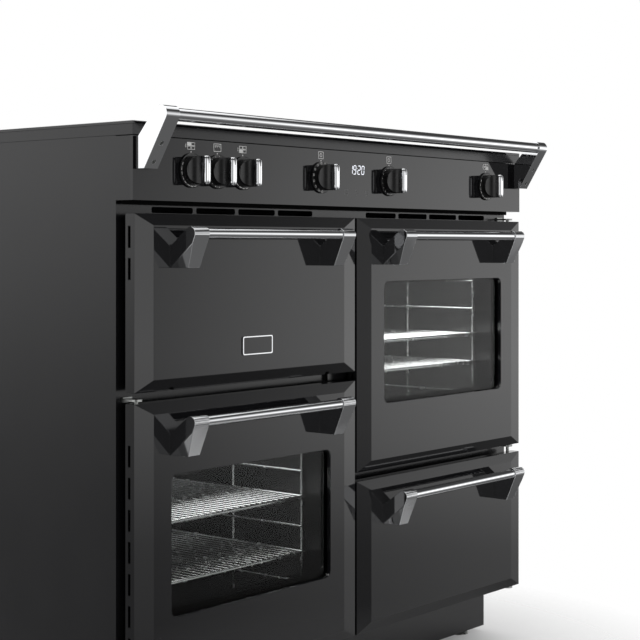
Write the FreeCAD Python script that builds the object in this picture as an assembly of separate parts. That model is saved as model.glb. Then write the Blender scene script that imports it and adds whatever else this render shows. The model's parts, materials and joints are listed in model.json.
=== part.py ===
"""Range cooker with four ovens: every piece as its own solid, in millimetres.

While the pieces are made, x runs to the right, y to the back and z up, with y = 0 on the plane of the
control panel's glass and of the doors' outer edges, and z = 0 on the floor. On writing, each piece is
moved so that the origin lies at the middle of the base of the whole object.
"""
import FreeCAD
import Part
import math
import os

# ---------------------------------------------------------------- overall sizes
WIDTH = 1000.0
HOB_TOP = 905.0
BODY_DEPTH = 600.0        # from the door fronts to the back
SHEET = 2.0               # carcass sheet thickness
LIP = 12.0                # width of a folded edge
OVERCUT = 1.0             # how far a cutting shape runs past the wall it opens

# ---------------------------------------------------------------- heights of the front
HOB_THICKNESS = 19.8
HOB_GAP = 1.0             # dark line between hob and control panel
FASCIA_HEIGHT = 89.5
VENT_BAND = 18.2          # control panel to the upper doors
SMALL_DOOR = 250.0
ROW_GAP = 15.0            # upper doors to lower doors
BASE_Z = 88.0             # underside of the carcass
BASE_DROP = 7.5           # carcass base below the lower doors

# ---------------------------------------------------------------- doors
DOOR_EDGE_GAP = 2.5       # door to the cooker's side
COLUMN_GAP = 5.0          # left doors to right doors
BEVEL_X = 33.5            # width of the bevel at the left and right of a door
BEVEL_Z = 16.5            # width of the bevel at its top and bottom
BEVEL_DEPTH = 4.5
PANEL_DEPTH = 17.0        # depth of a door panel's side edges
PANEL_WALL = 2.5
LINER_FLANGE = 1.5
FLANGE_INSET = 1.0
LINER_INSET = 14.0
LINER_WALL = 2.0
WINDOW_SIDE = 68.5        # window to the door's side edges
WINDOW_MARGIN = 106.0     # window to the upper and lower edges of its door
WINDOW_RISE = 2.0         # the window's middle lies this much above the door's
WINDOW_RADIUS = 12.0
WINDOW_SETBACK = 7.0      # outer glass behind the door's face
INNER_WINDOW_GROW = 44.0  # inner window is this much wider than the outer one
INNER_WINDOW_SHRINK = 8.0 # and this much lower
PANE = 4.0
PANE_MARGIN = 12.0
EDGE_SLOT_LENGTH = 30.0
EDGE_SLOT_WIDTH = 5.0
EDGE_SLOT_Y = 7.5
EDGE_SLOT_PITCH = 44.5
EDGE_SLOT_FIRST = 57.5    # first slot below the top of a side-hinged door
EDGE_SLOT_END = 42.5      # least length left below the last slot
GRILL_SLOT_FIRST = 18.0   # first slot below the top of the grill door
GRILL_SLOTS = 2

# ---------------------------------------------------------------- seals
SEAL_W = 8.0
SEAL_T = 2.0
SEAL_GAP = 0.5            # seal to closed door liner
SEAL_MARGIN = 4.0         # seal to the edge of the oven's mouth
CARCASS_SETBACK = 34.0    # front frame behind the doors' outer edges

# ---------------------------------------------------------------- hinges
SIDE_HINGE_INSET = 17.0   # hinge axis to the door's edge
GRILL_HINGE_RISE = 10.5   # hinge axis above the grill door's lower edge
GRILL_HINGE_INSET = 72.5  # drop-down hinge to the grill door's side edge
PIN_R = 3.0
PIN_CLEARANCE = 0.06
PIN_REACH = 9.0           # pin beyond the edge of the door it enters
HINGE_PLATE = 3.0
HINGE_ARM = 9.0           # half width of a hinge arm
HINGE_FOOT = 2.0          # foot of an arm above and below it
HINGE_DOOR_GAP = 2.5      # hinge arm to the door it carries
HINGE_NOTCH = 9.0         # width of the slots for the drop-down hinges
NOTCH_HEIGHT = 24.0
GRILL_PLATE_R = 6.0
GRILL_PIN_HALF = 8.0
EAR_HALF = 7.5
LATCH_BLOCK_W = 39.0
LATCH_BLOCK_T = 6.5
LATCH_BLOCK_GAP = 1.0     # block to the doors above and below, as seen between them
LATCH_BLOCK_PAST = 12.0   # block past the cooker's middle

# ---------------------------------------------------------------- handles
HANDLE_INSET = 65.5       # bracket's outer face to the door's edge
BRACKET_W = 30.0
HANDLE_REACH = 39.8       # tube axis in front of the door face
HANDLE_DROP = 27.7        # tube axis below the door's upper edge
HANDLE_TUBE_R = 7.8
HANDLE_CAP_STEP = 1.7     # bracket's round head stands out from the tube by this
HANDLE_WALL = 1.5
BRACKET_FOOT = 48.8       # bracket's lower edge below the tube axis
BRACKET_FOOT_DEPTH = 29.5
BRACKET_BACK_H = 31.0
FACET_W = 6.5
FACET_H = 35.6
BADGE_W = 67.0
BADGE_H = 28.0
BADGE_T = 2.0
BADGE_RIM = 2.0
BADGE_WELL = 0.8
BADGE_RADIUS = 3.0
BADGE_SHIFT = 3.0         # plate's middle right of the door's middle
BADGE_RISE = 55.5         # plate's middle above the door's lower edge

# ---------------------------------------------------------------- hand rail
RAIL_REACH = 50.8         # tube axis in front of the glass
RAIL_RISE = 7.0           # tube axis above the hob
RAIL_TUBE_R = 9.25
RAIL_CAP_STEP = 2.45
RAIL_WALL = 1.5
RAIL_END_INSET = 3.5      # bracket's outer face to the cooker's side
RAIL_BRACKET_W = 26.0
RAIL_PAD = 7.0            # black pad between bracket and fascia
PAD_CLEARANCE = 0.2       # pad to the hole in the glass
RAIL_FOOT_H = 45.2
RAIL_FOOT_TOP_GAP = 1.0   # bracket's foot below the top of the fascia
RAIL_FOOT_DEPTH = 18.6
RAIL_SHOULDER_Y = 24.0
RAIL_SHOULDER_DROP = 9.6  # shoulder below the tube axis
RAIL_SCREW_R = 3.5
RAIL_SCREW_RISES = (8.6, 34.0)
SCREW_WELL = 3.0

# ---------------------------------------------------------------- control panel
FASCIA_GLASS = 5.5
FASCIA_REACH = 26.0       # housing behind the front frame's plane
FASCIA_WALL = 1.5
KNOB_END_INSET = 115.0    # outermost dials to the cooker's sides
KNOB_PITCH = 55.3
KNOB_INNER = 90.0         # inner pair of dials to the cooker's middle
KNOB_DISC_R = 25.0
KNOB_DISC_CHAMFER = 1.0
KNOB_BODY_R = 20.5
KNOB_GAP = 0.5            # disc to glass
KNOB_DISC = 3.5
KNOB_BODY = 24.0          # moulding in front of the disc
KNOB_CAP = 8.0
KNOB_BAR_HALF = 4.6
BAR_STEP = 0.6            # moulded bar wider than its cap on each side
SCOOP_R = 18.0
SCOOP_AHEAD = 2.0
DISH_R = 160.0
DISH_DEPTH = 1.3
NOTCH_HALF = 0.9
NOTCH_DEPTH = 1.5
NOTCH_LOW = 13.5
SPINDLE_R = 4.0
SPINDLE_LENGTH = 30.0     # spindle behind the glass front
SPINDLE_HOLE_R = 5.0
SPINDLE_END_GAP = 1.0
SWITCH_SIDE = 38.0
SWITCH_DEPTH = 27.0
DISPLAY_X = 2.0
DISPLAY_W = 64.0
DISPLAY_H = 26.0
DISPLAY_RISE = 15.7       # display's middle above the fascia's
DISPLAY_CLEARANCE = 1.0
MODULE_W = 96.0
MODULE_H = 62.0
MODULE_T = 24.0

# ---------------------------------------------------------------- vent strip
VENT_SLOT = 84.8
VENT_PITCH = 91.9
VENT_FIRST = 70.4
VENT_SLOTS = 4
VENT_RISE = 1.6           # slots above the doors
VENT_SLOT_H = 9.0
VENT_RADIUS = 3.0

# ---------------------------------------------------------------- ovens
CAVITY_MARGIN_X = 49.5    # oven's inner side to the door's side edge
LARGE_MARGIN_Z = 33.0     # oven's floor and roof to the door's edges
SMALL_MARGIN_Z = 32.0
CAVITY_DEPTH = 420.0
CAVITY_WALL = 2.0
CAVITY_FLANGE = 12.0
BEAD_RISE = 45.0          # a small oven's shelf beads above its floor
BEAD_W = 14.0
BEAD_T = 4.0
BEAD_END = 20.0           # beads stop this far from the back wall
SHAFT_HOLE_GAP = 2.0      # fan shaft to the hole in the back wall
RACK_WIRE_R = 2.0
RUNNER_R = 1.9
RACK_TIE_R = 1.6
RACK_INSET = 5.0          # rack's uprights to the cavity wall
RUNNER_INSET = 8.6        # runner wires to the cavity wall
RUNNER_END = 3.0          # runner wires past the end uprights
RACK_SETBACK = 34.0       # rack behind the oven's mouth
RACK_DEPTH = 300.0
RACK_END = 25.0           # uprights stop this far from floor and roof
TIE_END = 10.0            # ties to the uprights' ends
# runner wires, from the lowest up, and whether each holds a shelf
MAIN_RUNGS = {"low": 56.5, "high": 68.5, "shelves": (False, True, False, True, False, False)}
TALL_RUNGS = {"low": 64.5, "high": 77.5, "shelves": (False, True, True, False, False)}
SHELF_ROD_R = 3.0
SHELF_INSET = 11.0        # shelf's side rods to the cavity wall
SHELF_WIRE_R = 1.5
SHELF_WIRES = 27
SHELF_SETBACK = 24.0      # shelf's front rod behind the oven's mouth
SHELF_DEPTH = 320.0
REST = 0.1                # gap left under a resting wire

# ---------------------------------------------------------------- fans and grill
FAN_WHEEL_R = 74.0
FAN_HUB_R = 12.0
FAN_SHAFT_R = 4.0
FAN_SHAFT_PAST = 30.0     # shaft behind the oven's back wall's inner face
FAN_BLADES = 14
FAN_BLADE_T = 1.5
FAN_BLADE_INNER_R = 46.0
FAN_BLADE_ANGLE = 35.0
FAN_DISC = 1.5
FAN_DEPTH = 26.0
FAN_WALL_GAP = 8.0
FAN_COVER_GAP = 42.0      # cavity's back wall to the cover plate
FAN_COVER_HALF = 125.0
FAN_COVER_WALL = 1.5
FAN_COVER_RADIUS = 20.0
COVER_HOLE_R = 6.0
COVER_RING_PITCH = 18.0
COVER_RINGS = 3
COVER_SLOTS = 5
COVER_SLOT_PITCH = 36.0
COVER_SLOT_H = 24.0
COVER_SLOT_END = 10.0
MOTOR_R = 32.0
MOTOR_LENGTH = 55.0
MOTOR_PLATE_W = 90.0
MOTOR_PLATE_H = 24.0
MOTOR_PLATE_T = 6.5
GRILL_TUBE_R = 3.5
GRILL_RUNS = 6
GRILL_RUN_LENGTH = 250.0
GRILL_PITCH = 52.0
GRILL_DROP = 26.0         # element below the roof
GRILL_SETBACK = 74.0      # element behind the oven's mouth

# ---------------------------------------------------------------- hob, feet, service
GLASS_T = 4.0
GLASS_CHAMFER = 1.0
HOB_RIM = 14.0
HOB_FLOOR = 2.0
COIL_T = 9.0
COIL_GAP = 0.5            # coil to glass
COIL_HOLE_R = 20.0
COIL_STAND = 10.0         # coil's stand wider than its hole
COIL_FLOOR = 2.0
COIL_SIDE_X = 355.0
COIL_FRONT_Y = 150.0
COIL_BACK_Y = 415.0
COIL_MIDDLE_Y = 290.0
COIL_SMALL_R = 72.0
COIL_LARGE_R = 90.0
COIL_MIDDLE_R = 135.0
FOOT_PAD_R = 22.0
FOOT_PAD_T = 12.0
FOOT_TAPER = 0.7
FOOT_STEM_R = 6.0
FOOT_NUT_R = 10.8
FOOT_NUT_T = 10.0
FOOT_INSET_X = 60.0
FOOT_INSET_FRONT = 66.0   # foot behind the front frame
FOOT_INSET_BACK = 50.5
PLINTH_SETBACK = 36.0     # plinth behind the front frame
PLINTH_INSET = 15.0
PLINTH_LOW = 10.0
PLINTH_RETURN = 60.0
TRAY_LIP = 14.0
VENT_FIELD_X = 250.0      # rear vents' middle to the cooker's middle
VENT_FIELD_HALF = 110.0
VENT_ROWS = 8
VENT_ROW_PITCH = 18.0
VENT_ROW_H = 8.0
VENT_ROWS_DROP = 185.2    # lowest row below the hob
GLAND_INSET_X = 100.0
GLAND_RISE = 52.0
GLAND_BORE_R = 7.5
GLAND_R = 12.0
GLAND_FLANGE_R = 18.0
GLAND_FLANGE_T = 5.0
GLAND_LENGTH = 22.0

# ---------------------------------------------------------------- worked out from the sizes above
DOOR_FACE = -BEVEL_DEPTH
BACK = DOOR_FACE + BODY_DEPTH
CARCASS_FRONT = CARCASS_SETBACK
FRAME_BACK = CARCASS_FRONT + SHEET
CAVITY_BACK = FRAME_BACK + CAVITY_DEPTH
HOB_BASE = HOB_TOP - HOB_THICKNESS
FASCIA_TOP = HOB_BASE - HOB_GAP
FASCIA_BASE = FASCIA_TOP - FASCIA_HEIGHT
FASCIA_MIDDLE = (FASCIA_TOP + FASCIA_BASE) / 2
DOOR_TOP = FASCIA_BASE - VENT_BAND
DOOR_BASE = BASE_Z + BASE_DROP
LARGE_DOOR = DOOR_TOP - DOOR_BASE - ROW_GAP - SMALL_DOOR
DOOR_WIDTH = (WIDTH - COLUMN_GAP) / 2 - DOOR_EDGE_GAP
COLUMN_X = (DOOR_WIDTH + COLUMN_GAP) / 2
LINER_BACK = CARCASS_FRONT - SEAL_T - SEAL_GAP
HINGE_Y = PANEL_DEPTH - PIN_R
PIN_HOLE_R = PIN_R + PIN_CLEARANCE
WINDOW_W = DOOR_WIDTH - 2 * WINDOW_SIDE
WINDOW_H = LARGE_DOOR - 2 * WINDOW_MARGIN
INNER_WINDOW_W = WINDOW_W + INNER_WINDOW_GROW
INNER_WINDOW_H = WINDOW_H - INNER_WINDOW_SHRINK
HANDLE_CAP_R = HANDLE_TUBE_R + HANDLE_CAP_STEP
HANDLE_HALF = DOOR_WIDTH / 2 - HANDLE_INSET
HANDLE_Y = DOOR_FACE - HANDLE_REACH
RAIL_CAP_R = RAIL_TUBE_R + RAIL_CAP_STEP
RAIL_Y = -RAIL_REACH
RAIL_Z = HOB_TOP + RAIL_RISE
RAIL_BRACKET_OUTER = WIDTH / 2 - RAIL_END_INSET
RAIL_FOOT_HIGH = FASCIA_TOP - RAIL_FOOT_TOP_GAP
RAIL_FOOT_LOW = RAIL_FOOT_HIGH - RAIL_FOOT_H
KNOB_OUTER = WIDTH / 2 - KNOB_END_INSET
KNOB_X = (-KNOB_OUTER, -KNOB_OUTER + KNOB_PITCH, -KNOB_OUTER + 2 * KNOB_PITCH,
          -KNOB_INNER, KNOB_INNER, KNOB_OUTER)
KNOB_Z = FASCIA_MIDDLE
KNOB_DISC_FRONT = -KNOB_GAP - KNOB_DISC
KNOB_BODY_FRONT = KNOB_DISC_FRONT - KNOB_BODY
KNOB_CAP_FRONT = KNOB_BODY_FRONT - KNOB_CAP
SWITCH_FRONT = FASCIA_GLASS + FASCIA_WALL
DISPLAY_Z = FASCIA_MIDDLE + DISPLAY_RISE
CAVITY_W = DOOR_WIDTH - 2 * CAVITY_MARGIN_X
GLASS_BASE = HOB_TOP - GLASS_T
COILS = ((-COIL_SIDE_X, COIL_FRONT_Y, COIL_SMALL_R), (-COIL_SIDE_X, COIL_BACK_Y, COIL_LARGE_R),
         (0.0, COIL_MIDDLE_Y, COIL_MIDDLE_R),
         (COIL_SIDE_X, COIL_FRONT_Y, COIL_LARGE_R), (COIL_SIDE_X, COIL_BACK_Y, COIL_SMALL_R))

DOORS = {
    "grill": {"side": -1, "top": DOOR_TOP, "height": SMALL_DOOR, "window": False, "margin": SMALL_MARGIN_Z},
    "main": {"side": -1, "top": DOOR_BASE + LARGE_DOOR, "height": LARGE_DOOR, "window": True,
             "margin": LARGE_MARGIN_Z},
    "tall": {"side": 1, "top": DOOR_TOP, "height": LARGE_DOOR, "window": True, "margin": LARGE_MARGIN_Z},
    "slow": {"side": 1, "top": DOOR_BASE + SMALL_DOOR, "height": SMALL_DOOR, "window": False,
             "margin": SMALL_MARGIN_Z},
}
RACKS = {"main": MAIN_RUNGS, "tall": TALL_RUNGS}

FRONT = RAIL_Y - RAIL_CAP_R
Y_MIDDLE = (FRONT + BACK) / 2.0
UP = FreeCAD.Vector(0, 0, 1)
BACKWARD = FreeCAD.Vector(0, 1, 0)
RIGHT = FreeCAD.Vector(1, 0, 0)


# ================================================================ helpers
def vec(x, y, z):
    return FreeCAD.Vector(x, y, z)


def box(x0, x1, y0, y1, z0, z1):
    """A box between two corners, whose x may come in either order."""
    left = min(x0, x1)
    return Part.makeBox(abs(x1 - x0), y1 - y0, z1 - z0, vec(left, y0, z0))


def rod_y(radius, x, z, y0, y1):
    """A cylinder that runs from front to back."""
    return Part.makeCylinder(radius, y1 - y0, vec(x, y0, z), BACKWARD)


def rod_x(radius, y, z, x0, x1):
    """A cylinder that runs from side to side, whose ends may come in either order."""
    return Part.makeCylinder(radius, abs(x1 - x0), vec(min(x0, x1), y, z), RIGHT)


def rod_z(radius, x, y, z0, z1):
    """An upright cylinder."""
    return Part.makeCylinder(radius, z1 - z0, vec(x, y, z0), UP)


def rounded_plate(x_mid, z_mid, width, height, radius, y0, y1):
    """A plate facing the front, with its four corners rounded."""
    plate = box(x_mid - width / 2, x_mid + width / 2, y0, y1, z_mid - height / 2, z_mid + height / 2)
    corners = [edge for edge in plate.Edges if abs(edge.tangentAt(edge.FirstParameter).y) > 0.9]
    return plate.makeFillet(min(radius, 0.49 * height), corners)


def prism_x(outline, x0, x1):
    """A prism along x from a closed outline of (y, z) points."""
    left = min(x0, x1)
    points = [vec(left, y, z) for y, z in outline]
    face = Part.Face(Part.makePolygon(points + points[:1]))
    return face.extrude(vec(abs(x1 - x0), 0, 0))


def tetrahedron(a, b, c, d):
    """A solid with four corners."""
    faces = []
    for p, q, r in ((a, b, c), (a, b, d), (b, c, d), (a, c, d)):
        faces.append(Part.Face(Part.makePolygon([p, q, r, p])))
    return Part.makeSolid(Part.makeShell(faces))


def tangent_point(start, centre, radius, front):
    """Where a line from start touches a circle in the (y, z) plane, on its front or its rear side."""
    dy = start[0] - centre[0]
    dz = start[1] - centre[1]
    base = math.atan2(dz, dy)
    swing = math.acos(radius / math.hypot(dy, dz))
    options = []
    for sign in (-1, 1):
        angle = base + sign * swing
        options.append((centre[0] + radius * math.cos(angle), centre[1] + radius * math.sin(angle)))
    options.sort()
    return options[0] if front else options[1]


def fuse(shapes):
    return shapes[0].multiFuse(shapes[1:]).removeSplitter()


def cut(shape, tools):
    """Cut a list of tools, which may overlap one another, out of a shape."""
    for tool in tools:
        shape = shape.cut(tool)
    return shape


def write(name, shapes):
    """Move a piece, or a list of like pieces, into the object's frame and write it."""
    shape = shapes if isinstance(shapes, Part.Shape) else Part.makeCompound(shapes)
    moved = shape.copy()
    moved.translate(vec(0, -Y_MIDDLE, 0))
    moved.exportStep("parts/" + name + ".step")


# ================================================================ doors
def door_x(door):
    return door["side"] * COLUMN_X


def door_base(door):
    return door["top"] - door["height"]


def door_edges(door):
    """Left, right, lower and upper edge of a door."""
    half = DOOR_WIDTH / 2
    return door_x(door) - half, door_x(door) + half, door_base(door), door["top"]


def door_window_z(door):
    return door["top"] - door["height"] / 2 + WINDOW_RISE


def hinge_side_x(door):
    """x of the upright hinge axis, near the outer edge of the cooker."""
    return door_x(door) + door["side"] * (DOOR_WIDTH / 2 - SIDE_HINGE_INSET)


def grill_hinge_xs(door):
    offset = DOOR_WIDTH / 2 - GRILL_HINGE_INSET
    return (door_x(door) - offset, door_x(door) + offset)


def grill_axis_z(door):
    return door_base(door) + GRILL_HINGE_RISE


def grill_hinge_notches(door):
    """Slots through a door's lower rear edge that clear the drop-down hinge plates."""
    low = door_base(door)
    half = HINGE_NOTCH / 2
    return [box(x - half, x + half, -OVERCUT, LINER_BACK + OVERCUT, low - OVERCUT, low + NOTCH_HEIGHT)
            for x in grill_hinge_xs(door)]


def grill_hinge_ears(door):
    """Two ears beside every drop-down hinge plate, standing on the liner's flange."""
    ears = []
    z_axis = grill_axis_z(door)
    for x in grill_hinge_xs(door):
        for side in (-1, 1):
            near = x + side * HINGE_NOTCH / 2
            far = near + side * HINGE_PLATE
            ears.append(box(near, far, HINGE_Y - EAR_HALF, PANEL_DEPTH + LINER_FLANGE / 2,
                            z_axis - EAR_HALF, z_axis + EAR_HALF))
    return ears


def edge_slot_tops(door):
    """Upper ends of the vent slots in a door's side edges."""
    if door is DOORS["grill"]:
        first = GRILL_SLOT_FIRST
        count = GRILL_SLOTS
    else:
        first = EDGE_SLOT_FIRST
        count = int((door["height"] - first - EDGE_SLOT_END) / EDGE_SLOT_PITCH)
    return [door["top"] - first - EDGE_SLOT_PITCH * i for i in range(count)]


def door_panel(door):
    """Folded outer panel: bevelled face, hollow behind, slots in its side edges."""
    x0, x1, z0, z1 = door_edges(door)
    wall = PANEL_WALL
    front = Part.makeWedge(x0 + BEVEL_X, DOOR_FACE, z0 + BEVEL_Z, z0, x0,
                           x1 - BEVEL_X, 0.0, z1 - BEVEL_Z, z1, x1)
    panel = front.fuse(box(x0, x1, 0.0, PANEL_DEPTH, z0, z1))
    hollow = [box(x0 + wall, x1 - wall, wall, PANEL_DEPTH + OVERCUT, z0 + wall, z1 - wall),
              box(x0 + BEVEL_X, x1 - BEVEL_X, DOOR_FACE + wall, wall + OVERCUT, z0 + BEVEL_Z, z1 - BEVEL_Z)]
    panel = cut(panel, hollow)
    tools = []
    if door["window"]:
        # the sheet is folded in round the window as far as its glass
        pane_y = DOOR_FACE + WINDOW_SETBACK
        x_mid = door_x(door)
        z_mid = door_window_z(door)
        lip = rounded_plate(x_mid, z_mid, WINDOW_W + 2 * wall, WINDOW_H + 2 * wall,
                            WINDOW_RADIUS + wall, DOOR_FACE + wall / 2, pane_y)
        panel = panel.fuse(lip)
        tools.append(rounded_plate(x_mid, z_mid, WINDOW_W, WINDOW_H, WINDOW_RADIUS,
                                   DOOR_FACE - OVERCUT, pane_y + OVERCUT))
    if door is DOORS["grill"]:
        tools += grill_hinge_notches(door)
    else:
        x = hinge_side_x(door)
        tools.append(rod_z(PIN_HOLE_R, x, HINGE_Y, z0 - OVERCUT, z0 + wall + OVERCUT))
        tools.append(rod_z(PIN_HOLE_R, x, HINGE_Y, z1 - wall - OVERCUT, z1 + OVERCUT))
    for top in edge_slot_tops(door):
        for outer, inner in ((x0 - OVERCUT, x0 + wall + OVERCUT), (x1 + OVERCUT, x1 - wall - OVERCUT)):
            tools.append(box(outer, inner, EDGE_SLOT_Y, EDGE_SLOT_Y + EDGE_SLOT_WIDTH,
                             top - EDGE_SLOT_LENGTH, top))
    return cut(panel, tools).removeSplitter()


def door_liner(door):
    """Inner tray of a door: a flange that closes the panel and a tray that meets the seal."""
    x0, x1, z0, z1 = door_edges(door)
    tray_front = PANEL_DEPTH + LINER_FLANGE
    flange = box(x0 + FLANGE_INSET, x1 - FLANGE_INSET, PANEL_DEPTH, tray_front,
                 z0 + FLANGE_INSET, z1 - FLANGE_INSET)
    tray = box(x0 + LINER_INSET, x1 - LINER_INSET, tray_front, LINER_BACK,
               z0 + LINER_INSET, z1 - LINER_INSET)
    inset = LINER_INSET + LINER_WALL
    tools = [box(x0 + inset, x1 - inset, PANEL_DEPTH - OVERCUT, LINER_BACK - LINER_WALL,
                 z0 + inset, z1 - inset)]
    if door["window"]:
        tools.append(rounded_plate(door_x(door), door_window_z(door), INNER_WINDOW_W, INNER_WINDOW_H,
                                   WINDOW_RADIUS, PANEL_DEPTH - OVERCUT, LINER_BACK + OVERCUT))
    liner = flange.fuse(tray)
    if door is not DOORS["grill"]:
        return cut(liner, tools).removeSplitter()
    liner = fuse([cut(liner, tools + grill_hinge_notches(door))] + grill_hinge_ears(door))
    reach = HINGE_NOTCH / 2 + HINGE_PLATE + OVERCUT
    return cut(liner, [rod_x(PIN_HOLE_R, HINGE_Y, grill_axis_z(door), x - reach, x + reach)
                       for x in grill_hinge_xs(door)])


def window_panes(door):
    """Outer pane behind the panel's lip and inner pane in the liner."""
    z = door_window_z(door)
    grow = 2 * PANE_MARGIN
    outer_front = DOOR_FACE + WINDOW_SETBACK
    inner_back = LINER_BACK - LINER_WALL
    outer = rounded_plate(door_x(door), z, WINDOW_W + grow, WINDOW_H + grow, WINDOW_RADIUS,
                          outer_front, outer_front + PANE)
    inner = rounded_plate(door_x(door), z, INNER_WINDOW_W + grow, INNER_WINDOW_H + grow, WINDOW_RADIUS,
                          inner_back - PANE, inner_back)
    return [outer, inner]


def handle_bracket(door, end):
    """Cast bracket: raking front face, slanting facet on the outer side, round head on the tube's end."""
    z_tube = door["top"] - HANDLE_DROP
    z_foot = z_tube - BRACKET_FOOT
    x_outer = door_x(door) + end * HANDLE_HALF
    x_inner = x_outer - end * BRACKET_W
    foot = (DOOR_FACE - BRACKET_FOOT_DEPTH, z_foot)
    shoulder = (DOOR_FACE, z_foot + BRACKET_BACK_H)
    head = (HANDLE_Y, z_tube)
    touch = tangent_point(foot, head, HANDLE_CAP_R, front=True)
    crown = tangent_point(shoulder, head, HANDLE_CAP_R, front=False)
    arm = prism_x([(DOOR_FACE, z_foot), foot, touch, head, crown, shoulder], x_outer, x_inner)
    bracket = fuse([arm, rod_x(HANDLE_CAP_R, HANDLE_Y, z_tube, x_outer, x_inner)])
    rake = (touch[0] - foot[0]) / (touch[1] - foot[1])
    high = vec(x_outer, foot[0] + rake * FACET_H, z_foot + FACET_H)
    back = vec(x_outer, DOOR_FACE, z_foot)
    front = vec(x_outer, foot[0], z_foot)
    inside = vec(x_outer - end * FACET_W, foot[0], z_foot)
    return bracket.cut(tetrahedron(high, back, front, inside))


def handle_bar(door):
    """Round tube between the two brackets, closed at its ends."""
    z_tube = door["top"] - HANDLE_DROP
    reach = HANDLE_HALF - BRACKET_W
    x0 = door_x(door) - reach
    x1 = door_x(door) + reach
    hollow = rod_x(HANDLE_TUBE_R - HANDLE_WALL, HANDLE_Y, z_tube, x0 + HANDLE_WALL, x1 - HANDLE_WALL)
    return rod_x(HANDLE_TUBE_R, HANDLE_Y, z_tube, x0, x1).cut(hollow)


def make_doors():
    for name, door in DOORS.items():
        write(name + "_door_panel", door_panel(door))
        write(name + "_door_liner", door_liner(door))
        write(name + "_handle_bar", handle_bar(door))
        write(name + "_handle_brackets", [handle_bracket(door, end) for end in (-1, 1)])
        if door["window"]:
            write(name + "_window_panes", window_panes(door))


def make_badge():
    """Blank plate with a raised rim on the grill door."""
    door = DOORS["grill"]
    x = door_x(door) + BADGE_SHIFT
    z = door_base(door) + BADGE_RISE
    plate = rounded_plate(x, z, BADGE_W, BADGE_H, BADGE_RADIUS, DOOR_FACE - BADGE_T, DOOR_FACE)
    front = DOOR_FACE - BADGE_T
    well = rounded_plate(x, z, BADGE_W - 2 * BADGE_RIM, BADGE_H - 2 * BADGE_RIM,
                         BADGE_RADIUS - BADGE_RIM / 2, front - OVERCUT, front + BADGE_WELL)
    write("badge_plate", plate.cut(well))


# ================================================================ hinges
def side_hinge(x, z, pin_ends):
    """Flat arm from the front frame to an upright hinge axis, with its foot and pin."""
    arm = box(x - HINGE_ARM, x + HINGE_ARM, HINGE_Y, CARCASS_FRONT, z, z + HINGE_PLATE)
    nose = rod_z(HINGE_ARM, x, HINGE_Y, z, z + HINGE_PLATE)
    foot = box(x - HINGE_ARM, x + HINGE_ARM, CARCASS_FRONT - HINGE_PLATE, CARCASS_FRONT,
               z - HINGE_FOOT, z + HINGE_PLATE + HINGE_FOOT)
    pin = rod_z(PIN_R, x, HINGE_Y, pin_ends[0], pin_ends[1])
    return fuse([arm, nose, foot, pin])


def upper_hinge(door):
    """Hinge above a door, its pin entering the door from above."""
    z = door["top"] + HINGE_DOOR_GAP
    return side_hinge(hinge_side_x(door), z, (door["top"] - PIN_REACH, z + HINGE_PLATE / 2))


def lower_hinge(door, door_below=None):
    """Hinge below a door; where another door hangs under it, its pin enters that one too."""
    z = door_base(door) - HINGE_DOOR_GAP - HINGE_PLATE
    pin_low = z + HINGE_PLATE / 2 if door_below is None else door_below["top"] - PIN_REACH
    return side_hinge(hinge_side_x(door), z, (pin_low, door_base(door) + PIN_REACH))


def grill_hinges(door):
    """Upright plates from the front frame into the grill door, each with a cross pin."""
    hinges = []
    z_axis = grill_axis_z(door)
    half = HINGE_PLATE / 2
    for x in grill_hinge_xs(door):
        plate = box(x - half, x + half, HINGE_Y, CARCASS_FRONT,
                    z_axis - GRILL_PLATE_R, z_axis + GRILL_PLATE_R)
        nose = rod_x(GRILL_PLATE_R, HINGE_Y, z_axis, x - half, x + half)
        pin = rod_x(PIN_R, HINGE_Y, z_axis, x - GRILL_PIN_HALF, x + GRILL_PIN_HALF)
        hinges.append(fuse([plate, nose, pin]))
    return hinges


def make_hinges():
    pieces = grill_hinges(DOORS["grill"])
    pieces += [upper_hinge(DOORS["main"]), lower_hinge(DOORS["main"])]
    pieces += [upper_hinge(DOORS["tall"]), lower_hinge(DOORS["tall"], DOORS["slow"])]
    pieces.append(lower_hinge(DOORS["slow"]))
    write("hinge_brackets", pieces)


# ================================================================ ovens
def cavity_box(door):
    """Inner left, right, floor and roof of the oven behind a door."""
    x0, x1, z0, z1 = door_edges(door)
    return x0 + CAVITY_MARGIN_X, x1 - CAVITY_MARGIN_X, z0 + door["margin"], z1 - door["margin"]


def bead_top(door):
    """Height of the pressed beads that carry the shelf of a small oven."""
    return cavity_box(door)[2] + BEAD_RISE


def cavity(name, door):
    """Enamelled box open at the front, with a flange behind the front frame."""
    x0, x1, z0, z1 = cavity_box(door)
    wall = CAVITY_WALL
    shell = box(x0 - wall, x1 + wall, FRAME_BACK, CAVITY_BACK + wall, z0 - wall, z1 + wall)
    flange = box(x0 - CAVITY_FLANGE, x1 + CAVITY_FLANGE, FRAME_BACK, FRAME_BACK + wall,
                 z0 - CAVITY_FLANGE, z1 + CAVITY_FLANGE)
    body = shell.fuse(flange).cut(box(x0, x1, FRAME_BACK - OVERCUT, CAVITY_BACK, z0, z1))
    if name in RACKS:
        x, z = fan_centre(name)
        return body.cut(rod_y(FAN_SHAFT_R + SHAFT_HOLE_GAP, x, z, CAVITY_BACK - OVERCUT,
                              CAVITY_BACK + wall + OVERCUT))
    beads = []
    top = bead_top(door)
    for near, far in ((x0 - wall / 2, x0 + BEAD_W), (x1 + wall / 2, x1 - BEAD_W)):
        beads.append(box(near, far, FRAME_BACK + SHELF_SETBACK, CAVITY_BACK - BEAD_END, top - BEAD_T, top))
    return fuse([body] + beads)


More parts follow.
